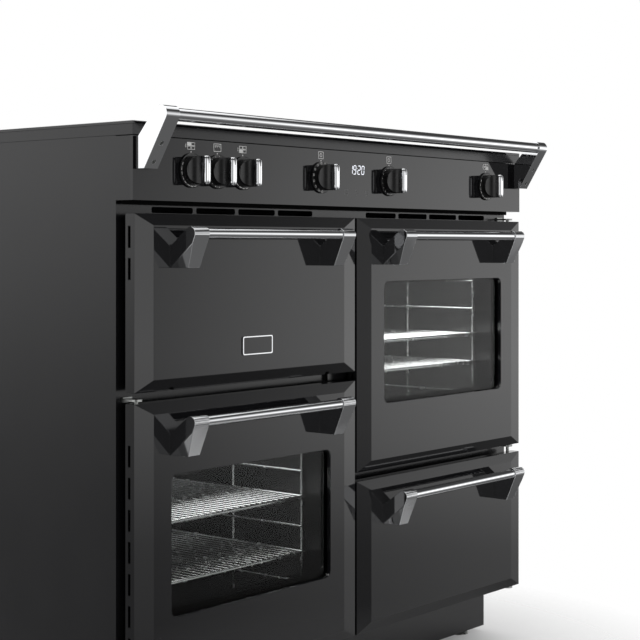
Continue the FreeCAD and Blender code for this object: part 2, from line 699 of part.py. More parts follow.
def seal_ring(door):
    """Flat seal on the front frame round an oven's mouth."""
    x0, x1, z0, z1 = cavity_box(door)
    x_mid = (x0 + x1) / 2
    z_mid = (z0 + z1) / 2
    front = CARCASS_FRONT - SEAL_T
    inner_w = x1 - x0 + 2 * SEAL_MARGIN
    inner_h = z1 - z0 + 2 * SEAL_MARGIN
    outer = rounded_plate(x_mid, z_mid, inner_w + 2 * SEAL_W, inner_h + 2 * SEAL_W,
                          SEAL_MARGIN + SEAL_W, front, CARCASS_FRONT)
    inner = rounded_plate(x_mid, z_mid, inner_w, inner_h, SEAL_MARGIN, front - OVERCUT,
                          CARCASS_FRONT + OVERCUT)
    return outer.cut(inner)


def rung_heights(name):
    """Heights of an oven's runner wires."""
    rungs = RACKS[name]
    floor, roof = cavity_box(DOORS[name])[2:]
    low = floor + rungs["low"]
    pitch = (roof - rungs["high"] - low) / (len(rungs["shelves"]) - 1)
    return [low + pitch * i for i in range(len(rungs["shelves"]))]


def ladder_rack(wall_x, toward, rungs, low, high):
    """Wire ladder at one wall: three uprights and a runner wire at each shelf height."""
    y0 = FRAME_BACK + RACK_SETBACK
    y1 = y0 + RACK_DEPTH
    x = wall_x + toward * RACK_INSET
    wires = [rod_z(RACK_WIRE_R, x, y, low, high) for y in (y0, (y0 + y1) / 2, y1)]
    for z in rungs:
        wires.append(rod_y(RUNNER_R, wall_x + toward * RUNNER_INSET, z, y0 - RUNNER_END, y1 + RUNNER_END))
    # ties that carry the ladder on the oven's wall
    for z in (low + TIE_END, high - TIE_END):
        for y in (y0, y1):
            wires.append(rod_x(RACK_TIE_R, y, z, x, wall_x))
    return fuse(wires)


def make_racks():
    racks = []
    for name in RACKS:
        x0, x1, z0, z1 = cavity_box(DOORS[name])
        for wall_x, toward in ((x0, 1), (x1, -1)):
            racks.append(ladder_rack(wall_x, toward, rung_heights(name), z0 + RACK_END, z1 - RACK_END))
    write("ladder_racks", racks)


def wire_shelf(half):
    """Wire shelf about the origin's x and z: a rod frame and wires that run from front to back."""
    y0 = FRAME_BACK + SHELF_SETBACK
    y1 = y0 + SHELF_DEPTH
    pieces = [rod_x(SHELF_ROD_R, y, 0.0, -half, half) for y in (y0, y1)]
    for x in (-half, half):
        pieces.append(rod_y(SHELF_ROD_R, x, 0.0, y0, y1))
        pieces += [Part.makeSphere(SHELF_ROD_R, vec(x, y, 0.0)) for y in (y0, y1)]
    pitch = 2 * half / (SHELF_WIRES + 1)
    for i in range(SHELF_WIRES):
        pieces.append(rod_y(SHELF_WIRE_R, -half + pitch * (i + 1), 0.0, y0, y1))
    return fuse(pieces)


def make_shelves():
    """Two shelves on the runners of each large oven, and one on the wall beads of each small one."""
    first = wire_shelf(CAVITY_W / 2 - SHELF_INSET)
    lift = math.sqrt((RUNNER_R + SHELF_ROD_R) ** 2 - (SHELF_INSET - RUNNER_INSET) ** 2) + REST
    places = []
    for name, rungs in RACKS.items():
        places += [(name, z + lift) for z, holds in zip(rung_heights(name), rungs["shelves"]) if holds]
    for name in ("grill", "slow"):
        places.append((name, bead_top(DOORS[name]) + SHELF_ROD_R + REST))
    shelves = []
    for name, z in places:
        shelf = first.copy()
        shelf.translate(vec(door_x(DOORS[name]), 0, z))
        shelves.append(shelf)
    write("oven_shelves", shelves)


def make_grill_element():
    """Serpentine heating tube under the grill's roof, its two ends let into the back wall."""
    door = DOORS["grill"]
    z = cavity_box(door)[3] - GRILL_DROP
    y0 = FRAME_BACK + GRILL_SETBACK
    y1 = y0 + GRILL_RUN_LENGTH
    first_x = door_x(door) - GRILL_PITCH * (GRILL_RUNS - 1) / 2
    pieces = []
    for i in range(GRILL_RUNS):
        x = first_x + GRILL_PITCH * i
        last = CAVITY_BACK if i in (0, GRILL_RUNS - 1) else y1
        pieces.append(rod_y(GRILL_TUBE_R, x, z, y0, last))
        if i < GRILL_RUNS - 1:
            middle = vec(x + GRILL_PITCH / 2, y0, z)
            bend = Part.makeTorus(GRILL_PITCH / 2, GRILL_TUBE_R, middle, UP, 0, 360, 180)
            if i % 2 == 1:
                bend.translate(vec(0, y1 - y0, 0))
            else:
                bend.rotate(middle, UP, 180)
            pieces.append(bend)
    write("grill_element", fuse(pieces))


# ================================================================ fans
def fan_centre(name):
    x0, x1, z0, z1 = cavity_box(DOORS[name])
    return (x0 + x1) / 2, (z0 + z1) / 2


def fan_wheel(name):
    """Fan wheel: a disc with upright blades, a hub and the shaft to its motor."""
    x, z = fan_centre(name)
    y1 = CAVITY_BACK - FAN_WALL_GAP
    y0 = y1 - FAN_DEPTH
    pieces = [rod_y(FAN_WHEEL_R, x, z, y1 - FAN_DISC, y1),
              rod_y(FAN_HUB_R, x, z, y0, y1),
              rod_y(FAN_SHAFT_R, x, z, y1 - FAN_DISC, CAVITY_BACK + FAN_SHAFT_PAST)]
    root = x + FAN_BLADE_INNER_R
    half = FAN_BLADE_T / 2
    for i in range(FAN_BLADES):
        blade = box(root, x + FAN_WHEEL_R - OVERCUT, y0, y1, z - half, z + half)
        blade.rotate(vec(root, 0, z), BACKWARD, FAN_BLADE_ANGLE)
        blade.rotate(vec(x, 0, z), BACKWARD, 360.0 * i / FAN_BLADES)
        pieces.append(blade)
    return fuse(pieces)


def fan_cover(name):
    """Folded plate in front of the fan, with rings of round vents and slots in its sides."""
    x, z = fan_centre(name)
    y0 = CAVITY_BACK - FAN_COVER_GAP
    side = 2 * FAN_COVER_HALF
    wall = FAN_COVER_WALL
    shell = rounded_plate(x, z, side, side, FAN_COVER_RADIUS, y0, CAVITY_BACK)
    inside = rounded_plate(x, z, side - 2 * wall, side - 2 * wall, FAN_COVER_RADIUS - wall,
                           y0 + wall, CAVITY_BACK + OVERCUT)
    vents = []
    for ring in range(1, COVER_RINGS + 1):
        count = 6 * ring
        for i in range(count):
            angle = 2 * math.pi * i / count
            vents.append(rod_y(COVER_HOLE_R, x + ring * COVER_RING_PITCH * math.cos(angle),
                               z + ring * COVER_RING_PITCH * math.sin(angle),
                               y0 - OVERCUT, y0 + wall + OVERCUT))
    first_z = z - COVER_SLOT_PITCH * (COVER_SLOTS - 1) / 2
    for end in (-1, 1):
        edge = x + end * FAN_COVER_HALF
        for row in range(COVER_SLOTS):
            low = first_z + COVER_SLOT_PITCH * row - COVER_SLOT_H / 2
            vents.append(box(edge - end * (wall + OVERCUT), edge + end * OVERCUT,
                             y0 + COVER_SLOT_END, CAVITY_BACK - COVER_SLOT_END, low, low + COVER_SLOT_H))
    return shell.cut(inside).cut(Part.makeCompound(vents))


def fan_motor(name):
    """Motor on the outside of the oven's back wall, bored for the wheel's shaft."""
    x, z = fan_centre(name)
    y0 = CAVITY_BACK + CAVITY_WALL
    body = rod_y(MOTOR_R, x, z, y0 + MOTOR_PLATE_T / 2, y0 + MOTOR_LENGTH)
    plate = box(x - MOTOR_PLATE_W / 2, x + MOTOR_PLATE_W / 2, y0, y0 + MOTOR_PLATE_T,
                z - MOTOR_PLATE_H / 2, z + MOTOR_PLATE_H / 2)
    bore_end = CAVITY_BACK + FAN_SHAFT_PAST + SPINDLE_END_GAP
    bore = rod_y(FAN_SHAFT_R + PIN_CLEARANCE, x, z, y0 - OVERCUT, bore_end)
    return body.fuse(plate).cut(bore)


def make_fans():
    for name in RACKS:
        write(name + "_fan_wheel", fan_wheel(name))
    write("fan_covers", [fan_cover(name) for name in RACKS])
    write("fan_motors", [fan_motor(name) for name in RACKS])


# ================================================================ carcass
def make_side_panels():
    """Outer side sheets, each with a narrow return behind the front frame."""
    panels = []
    for side in (-1, 1):
        outer = side * WIDTH / 2
        sheet = box(outer, outer - side * SHEET, CARCASS_FRONT, BACK, BASE_Z, HOB_BASE)
        fold = box(outer, outer - side * LIP, FRAME_BACK, FRAME_BACK + SHEET, BASE_Z + SHEET, FASCIA_BASE)
        panels.append(fuse([sheet, fold]))
    write("side_panels", panels)


def make_back_panel():
    """Rear sheet with the cable entry and two fields of vent slots."""
    half = WIDTH / 2 - SHEET
    front = BACK - SHEET - OVERCUT
    panel = box(-half, half, BACK - SHEET, BACK, BASE_Z, HOB_BASE)
    gland_x, gland_z = gland_centre()
    tools = [rod_y(GLAND_R, gland_x, gland_z, front, BACK + OVERCUT)]
    for side in (-1, 1):
        x = side * VENT_FIELD_X
        for row in range(VENT_ROWS):
            z = HOB_BASE - VENT_ROWS_DROP + VENT_ROW_PITCH * row
            tools.append(box(x - VENT_FIELD_HALF, x + VENT_FIELD_HALF, front, BACK + OVERCUT,
                             z, z + VENT_ROW_H))
    write("back_panel", panel.cut(Part.makeCompound(tools)))


def make_base_tray():
    """Base sheet with a stiffening lip behind the front frame."""
    half = WIDTH / 2 - SHEET
    tray = box(-half, half, FRAME_BACK, BACK - SHEET, BASE_Z, BASE_Z + SHEET)
    lip = box(-half + LIP, half - LIP, FRAME_BACK, FRAME_BACK + SHEET, BASE_Z, BASE_Z + TRAY_LIP)
    write("base_tray", tray.fuse(lip).removeSplitter())


def make_front_frame():
    """Front plate with four oven mouths, the row of vent slots and the small latch block."""
    half = WIDTH / 2 - SHEET
    frame = box(-half, half, CARCASS_FRONT, FRAME_BACK, BASE_Z, FASCIA_BASE)
    gap_low = DOORS["main"]["top"]
    block = box(-LATCH_BLOCK_W, LATCH_BLOCK_PAST, CARCASS_FRONT - LATCH_BLOCK_T, CARCASS_FRONT,
                gap_low + LATCH_BLOCK_GAP, gap_low + ROW_GAP - LATCH_BLOCK_GAP)
    tools = []
    for door in DOORS.values():
        x0, x1, z0, z1 = cavity_box(door)
        tools.append(box(x0, x1, CARCASS_FRONT - OVERCUT, FRAME_BACK + OVERCUT, z0, z1))
    vent_z = DOOR_TOP + VENT_RISE + VENT_SLOT_H / 2
    for side in (-1, 1):
        for i in range(VENT_SLOTS):
            x_mid = side * (VENT_FIRST + VENT_PITCH * i + VENT_SLOT / 2)
            tools.append(rounded_plate(x_mid, vent_z, VENT_SLOT, VENT_SLOT_H, VENT_RADIUS,
                                       CARCASS_FRONT - OVERCUT, FRAME_BACK + OVERCUT))
    write("front_frame", frame.fuse(block).cut(Part.makeCompound(tools)))


def make_plinth():
    """Kick plate set back under the doors, folded back at both ends."""
    half = WIDTH / 2 - PLINTH_INSET
    front = CARCASS_FRONT + PLINTH_SETBACK
    pieces = [box(-half, half, front, front + SHEET, PLINTH_LOW, BASE_Z)]
    for side in (-1, 1):
        pieces.append(box(side * half, side * (half - SHEET), front, front + PLINTH_RETURN,
                          PLINTH_LOW, BASE_Z))
    write("plinth", fuse(pieces))


def make_feet():
    """Four screw feet with their lock nuts under the base tray."""
    feet = []
    x_foot = WIDTH / 2 - FOOT_INSET_X
    for x in (-x_foot, x_foot):
        for y in (CARCASS_FRONT + FOOT_INSET_FRONT, BACK - FOOT_INSET_BACK):
            pad = Part.makeCone(FOOT_PAD_R, FOOT_PAD_R * FOOT_TAPER, FOOT_PAD_T, vec(x, y, 0), UP)
            stem = rod_z(FOOT_STEM_R, x, y, FOOT_PAD_T / 2, BASE_Z)
            nut = rod_z(FOOT_NUT_R, x, y, BASE_Z - FOOT_NUT_T, BASE_Z)
            feet.append(fuse([pad, stem, nut]))
    write("levelling_feet", feet)


def gland_centre():
    return WIDTH / 2 - GLAND_INSET_X, BASE_Z + GLAND_RISE


def make_gland():
    """Bush for the mains cable, flush with the back panel's outer face."""
    x, z = gland_centre()
    front = BACK - GLAND_LENGTH
    neck = rod_y(GLAND_R, x, z, front, BACK)
    flange = rod_y(GLAND_FLANGE_R, x, z, BACK - SHEET - GLAND_FLANGE_T, BACK - SHEET)
    bore = rod_y(GLAND_BORE_R, x, z, front - OVERCUT, BACK + OVERCUT)
    write("mains_gland", neck.fuse(flange).cut(bore))


# ================================================================ hob
def make_hob():
    """Tray of the worktop and the glass plate on its rim."""
    half = WIDTH / 2
    tray = box(-half, half, 0.0, BACK, HOB_BASE, GLASS_BASE)
    inside = box(-half + HOB_RIM, half - HOB_RIM, HOB_RIM, BACK - HOB_RIM, HOB_BASE + HOB_FLOOR,
                 GLASS_BASE + OVERCUT)
    write("hob_frame", tray.cut(inside))
    glass = box(-half, half, 0.0, BACK, GLASS_BASE, HOB_TOP)
    top_edges = [edge for edge in glass.Edges if edge.BoundBox.ZMin > HOB_TOP - GLASS_T / 2]
    write("hob_glass", glass.makeChamfer(GLASS_CHAMFER, top_edges))


def make_coils():
    """Five ring coils on stands that rise from the tray's floor."""
    coils = []
    top = GLASS_BASE - COIL_GAP
    low = top - COIL_T
    for x, y, radius in COILS:
        ring = rod_z(radius, x, y, low, top)
        hole = rod_z(COIL_HOLE_R, x, y, low + COIL_FLOOR, GLASS_BASE)
        stand = rod_z(COIL_HOLE_R + COIL_STAND, x, y, HOB_BASE + HOB_FLOOR, low + COIL_FLOOR / 2)
        coils.append(ring.cut(hole).fuse(stand).removeSplitter())
    write("induction_coils", coils)


# ================================================================ control panel
def rail_pad_boxes(grow):
    """Pads that carry the rail brackets, or the same boxes grown to make the holes they pass through."""
    pads = []
    for side in (-1, 1):
        pads.append(box(side * (RAIL_BRACKET_OUTER + grow),
                        side * (RAIL_BRACKET_OUTER - RAIL_BRACKET_W - grow),
                        -RAIL_PAD, FASCIA_GLASS + FASCIA_WALL / 2,
                        RAIL_FOOT_LOW - grow, RAIL_FOOT_HIGH + grow))
    return pads


def spindle_holes():
    end = SWITCH_FRONT + OVERCUT
    return [rod_y(SPINDLE_HOLE_R, x, KNOB_Z, -OVERCUT, end) for x in KNOB_X]


def make_fascia():
    """Steel housing open to the back, and the glass in front of it."""
    half = WIDTH / 2
    wall = FASCIA_WALL
    low = FASCIA_BASE
    high = FASCIA_TOP
    wide = box(-half, half, FASCIA_GLASS, CARCASS_FRONT, low, high)
    wide_inside = box(-half + wall, half - wall, SWITCH_FRONT, CARCASS_FRONT + OVERCUT,
                      low + wall, high - wall)
    # narrower part that reaches in between the side panels
    narrow = half - SHEET - LIP
    end = CARCASS_FRONT + FASCIA_REACH
    deep = box(-narrow, narrow, CARCASS_FRONT, end, low, high)
    deep_inside = box(-narrow + wall, narrow - wall, CARCASS_FRONT - OVERCUT, end + OVERCUT,
                      low + wall, high - wall)
    body = wide.cut(wide_inside).fuse(deep.cut(deep_inside))
    body = body.fuse(rail_pad_boxes(0.0))
    display = box(DISPLAY_X - DISPLAY_W / 2, DISPLAY_X + DISPLAY_W / 2, FASCIA_GLASS - OVERCUT,
                  SWITCH_FRONT + OVERCUT, DISPLAY_Z - DISPLAY_H / 2, DISPLAY_Z + DISPLAY_H / 2)
    write("fascia_housing", cut(body, spindle_holes() + [display]).removeSplitter())
    glass = box(-half, half, 0.0, FASCIA_GLASS, low, high)
    write("fascia_glass", cut(glass, spindle_holes() + rail_pad_boxes(PAD_CLEARANCE)))


def make_clock_module():
    """Clock and touch module behind the fascia, with its display in the housing's opening."""
    board = box(DISPLAY_X - MODULE_W / 2, DISPLAY_X + MODULE_W / 2, SWITCH_FRONT, SWITCH_FRONT + MODULE_T,
                FASCIA_MIDDLE - MODULE_H / 2, FASCIA_MIDDLE + MODULE_H / 2)
    half_w = DISPLAY_W / 2 - DISPLAY_CLEARANCE
    half_h = DISPLAY_H / 2 - DISPLAY_CLEARANCE
    face = box(DISPLAY_X - half_w, DISPLAY_X + half_w, FASCIA_GLASS, SWITCH_FRONT + OVERCUT,
               DISPLAY_Z - half_h, DISPLAY_Z + half_h)
    write("clock_module", board.fuse(face).removeSplitter())


def make_switches():
    """Six rotary switches behind the fascia, bored for the knob spindles."""
    switches = []
    half = SWITCH_SIDE / 2
    for x in KNOB_X:
        body = box(x - half, x + half, SWITCH_FRONT, SWITCH_FRONT + SWITCH_DEPTH,
                   KNOB_Z - half, KNOB_Z + half)
        bore = rod_y(SPINDLE_R + PIN_CLEARANCE, x, KNOB_Z, SWITCH_FRONT - OVERCUT,
                     SPINDLE_LENGTH + SPINDLE_END_GAP)
        switches.append(body.cut(bore))
    write("rotary_switches", switches)


def knob(x):
    """Knob moulding: dial disc, round body scooped on both sides to a bar, and its spindle."""
    z = KNOB_Z
    disc = rod_y(KNOB_DISC_R, x, z, KNOB_DISC_FRONT, -KNOB_GAP)
    rim = [edge for edge in disc.Edges
           if edge.BoundBox.YLength < 0.1 and edge.BoundBox.YMax < KNOB_DISC_FRONT + KNOB_DISC / 2]
    disc = disc.makeChamfer(KNOB_DISC_CHAMFER, rim)
    body = rod_y(KNOB_BODY_R, x, z, KNOB_BODY_FRONT, KNOB_DISC_FRONT)
    scoops = []
    for side in (-1, 1):
        scoop_x = x + side * (KNOB_BAR_HALF + BAR_STEP + SCOOP_R)
        scoops.append(rod_z(SCOOP_R, scoop_x, KNOB_BODY_FRONT - SCOOP_AHEAD,
                            z - KNOB_DISC_R, z + KNOB_DISC_R))
    spindle = rod_y(SPINDLE_R, x, z, -KNOB_GAP - KNOB_DISC / 2, SPINDLE_LENGTH)
    return fuse([disc, cut(body, scoops), spindle])


def knob_cap(x):
    """Chrome cap on the knob's bar, with a dished front and a pointer notch at the top."""
    z = KNOB_Z
    blank = rod_y(KNOB_BODY_R, x, z, KNOB_CAP_FRONT, KNOB_BODY_FRONT)
    blank = blank.common(box(x - KNOB_BAR_HALF, x + KNOB_BAR_HALF, KNOB_CAP_FRONT, KNOB_BODY_FRONT,
                             z - KNOB_DISC_R, z + KNOB_DISC_R))
    dish = rod_x(DISH_R, KNOB_CAP_FRONT + DISH_DEPTH - DISH_R, z, x - KNOB_DISC_R, x + KNOB_DISC_R)
    notch = box(x - NOTCH_HALF, x + NOTCH_HALF, KNOB_CAP_FRONT - OVERCUT, KNOB_CAP_FRONT + NOTCH_DEPTH,
                z + NOTCH_LOW, z + KNOB_DISC_R)
    return cut(blank, [dish, notch])


def make_knobs():
    for number, x in enumerate(KNOB_X, start=1):
        write("knob_%d" % number, knob(x))
        write("knob_cap_%d" % number, knob_cap(x))


# ================================================================ hand rail
def rail_bracket(side):
    """Raking bracket on its pad, with a round head that caps the rail's end and two screw wells."""
    x_outer = side * RAIL_BRACKET_OUTER
    x_inner = x_outer - side * RAIL_BRACKET_W
    foot = (-RAIL_FOOT_DEPTH, RAIL_FOOT_LOW)
    head = (RAIL_Y, RAIL_Z)
    shoulder = (-RAIL_SHOULDER_Y, RAIL_Z - RAIL_SHOULDER_DROP)
    touch = tangent_point(foot, head, RAIL_CAP_R, front=True)
    crown = tangent_point(shoulder, head, RAIL_CAP_R, front=False)
    outline = [(-RAIL_PAD, RAIL_FOOT_LOW), foot, touch, head, crown, shoulder, (-RAIL_PAD, RAIL_FOOT_HIGH)]
    bracket = fuse([prism_x(outline, x_outer, x_inner),
                    rod_x(RAIL_CAP_R, RAIL_Y, RAIL_Z, x_outer, x_inner)])
    rake = (touch[0] - foot[0]) / (touch[1] - foot[1])
    outward = vec(0, -1.0, rake)
    outward.normalize()
    wells = []
    for rise in RAIL_SCREW_RISES:
        on_face = vec((x_outer + x_inner) / 2, foot[0] + rake * rise, foot[1] + rise)
        bottom = on_face - outward * SCREW_WELL
        wells.append(Part.makeCylinder(RAIL_SCREW_R, SCREW_WELL + OVERCUT, bottom, outward))
    return cut(bracket, wells)


def make_rail():
    write("rail_brackets", [rail_bracket(side) for side in (-1, 1)])
    reach = RAIL_BRACKET_OUTER - RAIL_BRACKET_W
    tube = rod_x(RAIL_TUBE_R, RAIL_Y, RAIL_Z, -reach, reach)
    hollow = rod_x(RAIL_TUBE_R - RAIL_WALL, RAIL_Y, RAIL_Z, -reach + RAIL_WALL, reach - RAIL_WALL)
    write("rail_tube", tube.cut(hollow))


def main():
    os.makedirs("parts", exist_ok=True)
    make_side_panels()
    make_back_panel()
    make_base_tray()
    make_front_frame()
    make_plinth()
    make_feet()
    make_gland()
    make_hob()
    make_coils()
    make_fascia()
    make_clock_module()
    make_switches()
    make_knobs()
    make_rail()
    for name, door in DOORS.items():
        write(name + "_cavity", cavity(name, door))
    write("door_seals", [seal_ring(door) for door in DOORS.values()])
    make_racks()
    make_shelves()
    make_grill_element()
    make_fans()
    make_doors()
    make_badge()
    make_hinges()


main()
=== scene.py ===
"""Finish of a black range cooker with four ovens: softened edges, printed marks, fittings and materials.

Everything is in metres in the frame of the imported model, with x to the right, y to the back and z up.
"""
import json
import math

import bmesh
import bpy
import numpy as np
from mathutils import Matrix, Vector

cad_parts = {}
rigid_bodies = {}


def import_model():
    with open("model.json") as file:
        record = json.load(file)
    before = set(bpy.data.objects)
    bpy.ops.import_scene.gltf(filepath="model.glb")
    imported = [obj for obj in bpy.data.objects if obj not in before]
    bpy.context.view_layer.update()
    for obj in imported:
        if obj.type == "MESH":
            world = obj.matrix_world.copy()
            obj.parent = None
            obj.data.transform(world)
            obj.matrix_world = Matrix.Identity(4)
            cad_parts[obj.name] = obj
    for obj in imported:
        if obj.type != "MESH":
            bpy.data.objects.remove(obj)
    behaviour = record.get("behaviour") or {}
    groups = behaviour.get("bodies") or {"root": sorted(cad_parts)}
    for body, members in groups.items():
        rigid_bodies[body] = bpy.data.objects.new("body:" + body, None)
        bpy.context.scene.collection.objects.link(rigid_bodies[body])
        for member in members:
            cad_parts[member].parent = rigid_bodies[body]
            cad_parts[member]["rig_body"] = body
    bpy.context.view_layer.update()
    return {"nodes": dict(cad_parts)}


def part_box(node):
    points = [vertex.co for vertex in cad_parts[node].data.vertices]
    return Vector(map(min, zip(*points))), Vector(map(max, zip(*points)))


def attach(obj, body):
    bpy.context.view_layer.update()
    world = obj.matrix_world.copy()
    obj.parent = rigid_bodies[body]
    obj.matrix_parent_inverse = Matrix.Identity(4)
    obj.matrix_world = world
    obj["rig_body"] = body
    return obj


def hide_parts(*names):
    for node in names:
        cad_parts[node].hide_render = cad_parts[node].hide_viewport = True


bl_info = {
    "name": "Range cooker finish",
    "version": (1, 0, 0),
    "blender": (4, 5, 0),
    "location": "View3D > Sidebar > Cooker",
    "description": "Builds the finish of a four-oven range cooker around its packed frame",
    "category": "Object",
}

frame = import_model()

MM = 0.001
OVENS = {"grill": -1, "main": -1, "tall": 1, "slow": 1}
WINDOWED = ("main", "tall")
KNOBS = range(1, 7)
ZONES = {1: (-1, 1), 3: (-1, -1), 6: (1, -1)}   # dials of cooking zones and the corner each heats
INK_DEPTH = 0.05 * MM      # thickness of a printed mark
CAP_LAP = 1.2 * MM         # a knob's cap laps over the sides of its grip
CAP_REACH = 4.2 * MM       # and reaches this far down them
DIAL_RISE = 4.0 * MM       # the dials' discs stand this far before the panel
TURN = 2 * math.pi


# ---------------------------------------------------------------- places read from the frame
def middle(node):
    """Middle of a node's box."""
    low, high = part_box(node)
    return (low + high) / 2


FASCIA_LOW, FASCIA_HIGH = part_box("fascia_glass")
FRONT_Y = FASCIA_LOW.y


# ---------------------------------------------------------------- colours and shader nodes
def linear(code):
    """A colour written as an sRGB hex code, as linear red, green, blue and alpha."""
    parts = [int(code[i:i + 2], 16) / 255 for i in (0, 2, 4)]
    return tuple(p / 12.92 if p <= 0.04045 else ((p + 0.055) / 1.055) ** 2.4 for p in parts) + (1.0,)


def add_node(tree, kind, values=None, links=None, to=None, stops=(), **settings):
    """Adds a shader node, sets its properties, inputs and ramp stops, and links it on both sides."""
    node = tree.nodes.new(kind)
    for key, value in settings.items():
        setattr(node, key, value)
    for socket, value in (values or {}).items():
        node.inputs[socket].default_value = value
    for socket, source in (links or {}).items():
        tree.links.new(source, node.inputs[socket])
    for _ in stops[2:]:
        node.color_ramp.elements.new(0.5)
    for number, (place, colour) in enumerate(stops):
        node.color_ramp.elements[number].position = place
        node.color_ramp.elements[number].color = colour
    if to:
        tree.links.new(node.outputs[0], to)
    return node


def new_material(name, colour, **sockets):
    """A material with one Principled shader, whose plain values are set on its own sockets."""
    material = bpy.data.materials.new(name)
    material.use_nodes = True
    tree = material.node_tree
    tree.nodes.clear()
    shader = add_node(tree, "ShaderNodeBsdfPrincipled", {"Base Color": linear(colour)})
    for socket, value in sockets.items():
        shader.inputs[socket.replace("_", " ")].default_value = value
    add_node(tree, "ShaderNodeOutputMaterial", links={"Surface": shader.outputs[0]})
    place = add_node(tree, "ShaderNodeTexCoord")
    return material, tree, shader.inputs, place.outputs["Object"]


# ---------------------------------------------------------------- materials
def gloss_enamel():
    """Sprayed and baked gloss enamel on folded steel: mirror-like, with a trace of orange peel."""
    material, tree, sockets, place = new_material("gloss_black_enamel", "18181a", Roughness=0.045, IOR=1.5)
    wiping = add_node(tree, "ShaderNodeTexNoise", {"Scale": 1 / (140 * MM), "Detail": 4.0}, {"Vector": place})
    add_node(tree, "ShaderNodeMapRange", {"From Min": 0.3, "From Max": 0.7, "To Min": 0.035, "To Max": 0.065},
             {"Value": wiping.outputs[0]}, sockets["Roughness"])
    # orange peel, waves of about 8 mm
    peel = add_node(tree, "ShaderNodeTexNoise", {"Scale": 1 / (8 * MM), "Detail": 1.0}, {"Vector": place})
    add_node(tree, "ShaderNodeBump", {"Strength": 0.5, "Distance": 0.004 * MM}, {"Height": peel.outputs[0]},
             sockets["Normal"])
    return material


def printed_glass():
    """Float glass printed black on its back: a hard, flat mirror over deep black."""
    material, tree, sockets, place = new_material("back_printed_glass", "161618", Roughness=0.02, IOR=1.52)
    haze = add_node(tree, "ShaderNodeTexNoise", {"Scale": 1 / (90 * MM), "Detail": 3.0}, {"Vector": place})
    add_node(tree, "ShaderNodeMapRange", {"From Min": 0.3, "From Max": 0.7, "To Min": 0.012, "To Max": 0.035},
             {"Value": haze.outputs[0]}, sockets["Roughness"])
    return material


def ceramic_hob():
    """Black glass ceramic: flat gloss with fine grey flecks in its print, 5 mm apart."""
    material, tree, sockets, place = new_material("glass_ceramic", "101012", Roughness=0.03, IOR=1.54)
    cells = add_node(tree, "ShaderNodeTexVoronoi", {"Scale": 1 / (5 * MM)}, {"Vector": place})
    add_node(tree, "ShaderNodeValToRGB", links={"Fac": cells.outputs["Distance"]}, to=sockets["Base Color"],
             stops=((0.05, linear("4a4b4e")), (0.09, linear("101012"))))
    return material


def window_glass():
    """Toughened oven glass with a slight grey tint; its coating, which stops reflections, lowers the IOR."""
    material, tree, sockets, place = new_material("coated_oven_glass", "eeefee", Roughness=0.0, IOR=1.14,
                                                  Transmission_Weight=1.0)
    film = add_node(tree, "ShaderNodeTexNoise", {"Scale": 1 / (60 * MM), "Detail": 4.0}, {"Vector": place})
    add_node(tree, "ShaderNodeMapRange", {"From Min": 0.5, "From Max": 0.8, "To Min": 0.0, "To Max": 0.015},
             {"Value": film.outputs[0]}, sockets["Roughness"])
    return material


def bright_chrome():
    """Polished chrome plate: clear reflections with the faintest haze of handling."""
    material, tree, sockets, place = new_material("polished_chrome", "ecedef", Metallic=1.0, Roughness=0.05)
    haze = add_node(tree, "ShaderNodeTexNoise", {"Scale": 1 / (35 * MM), "Detail": 5.0}, {"Vector": place})
    add_node(tree, "ShaderNodeMapRange", {"From Min": 0.3, "From Max": 0.7, "To Min": 0.035, "To Max": 0.085},
             {"Value": haze.outputs[0]}, sockets["Roughness"])
    return material


def satin_enamel():
    """Satin powder enamel on the carcass: soft reflections and a fine orange peel."""
    material, tree, sockets, place = new_material("satin_black_enamel", "1c1c1e", Roughness=0.2, IOR=1.5)
    patches = add_node(tree, "ShaderNodeTexNoise", {"Scale": 1 / (200 * MM), "Detail": 3.0}, {"Vector": place})
    add_node(tree, "ShaderNodeMapRange", {"From Min": 0.3, "From Max": 0.7, "To Min": 0.17, "To Max": 0.24},
             {"Value": patches.outputs[0]}, sockets["Roughness"])
    # powder coat peel, drawn at 3 mm so that it shows
    peel = add_node(tree, "ShaderNodeTexNoise", {"Scale": 1 / (3 * MM), "Detail": 2.0}, {"Vector": place})
    add_node(tree, "ShaderNodeBump", {"Strength": 0.6, "Distance": 0.006 * MM}, {"Height": peel.outputs[0]},
             sockets["Normal"])
    return material


def zinc_sheet():
    """Hot-dip galvanised sheet: pale grey metal with spangles of about 12 mm."""
    material, tree, sockets, place = new_material("galvanised_sheet", "a9adb0", Metallic=0.85, Roughness=0.4)
    spangle = add_node(tree, "ShaderNodeTexVoronoi", {"Scale": 1 / (12 * MM)}, {"Vector": place})
    tone = add_node(tree, "ShaderNodeSeparateColor", links={"Color": spangle.outputs["Color"]})
    add_node(tree, "ShaderNodeValToRGB", links={"Fac": tone.outputs[0]}, to=sockets["Base Color"],
             stops=((0.0, linear("93989c")), (1.0, linear("b9bdc0"))))
    add_node(tree, "ShaderNodeMapRange", {"To Min": 0.32, "To Max": 0.5}, {"Value": tone.outputs[1]},
             sockets["Roughness"])
    return material


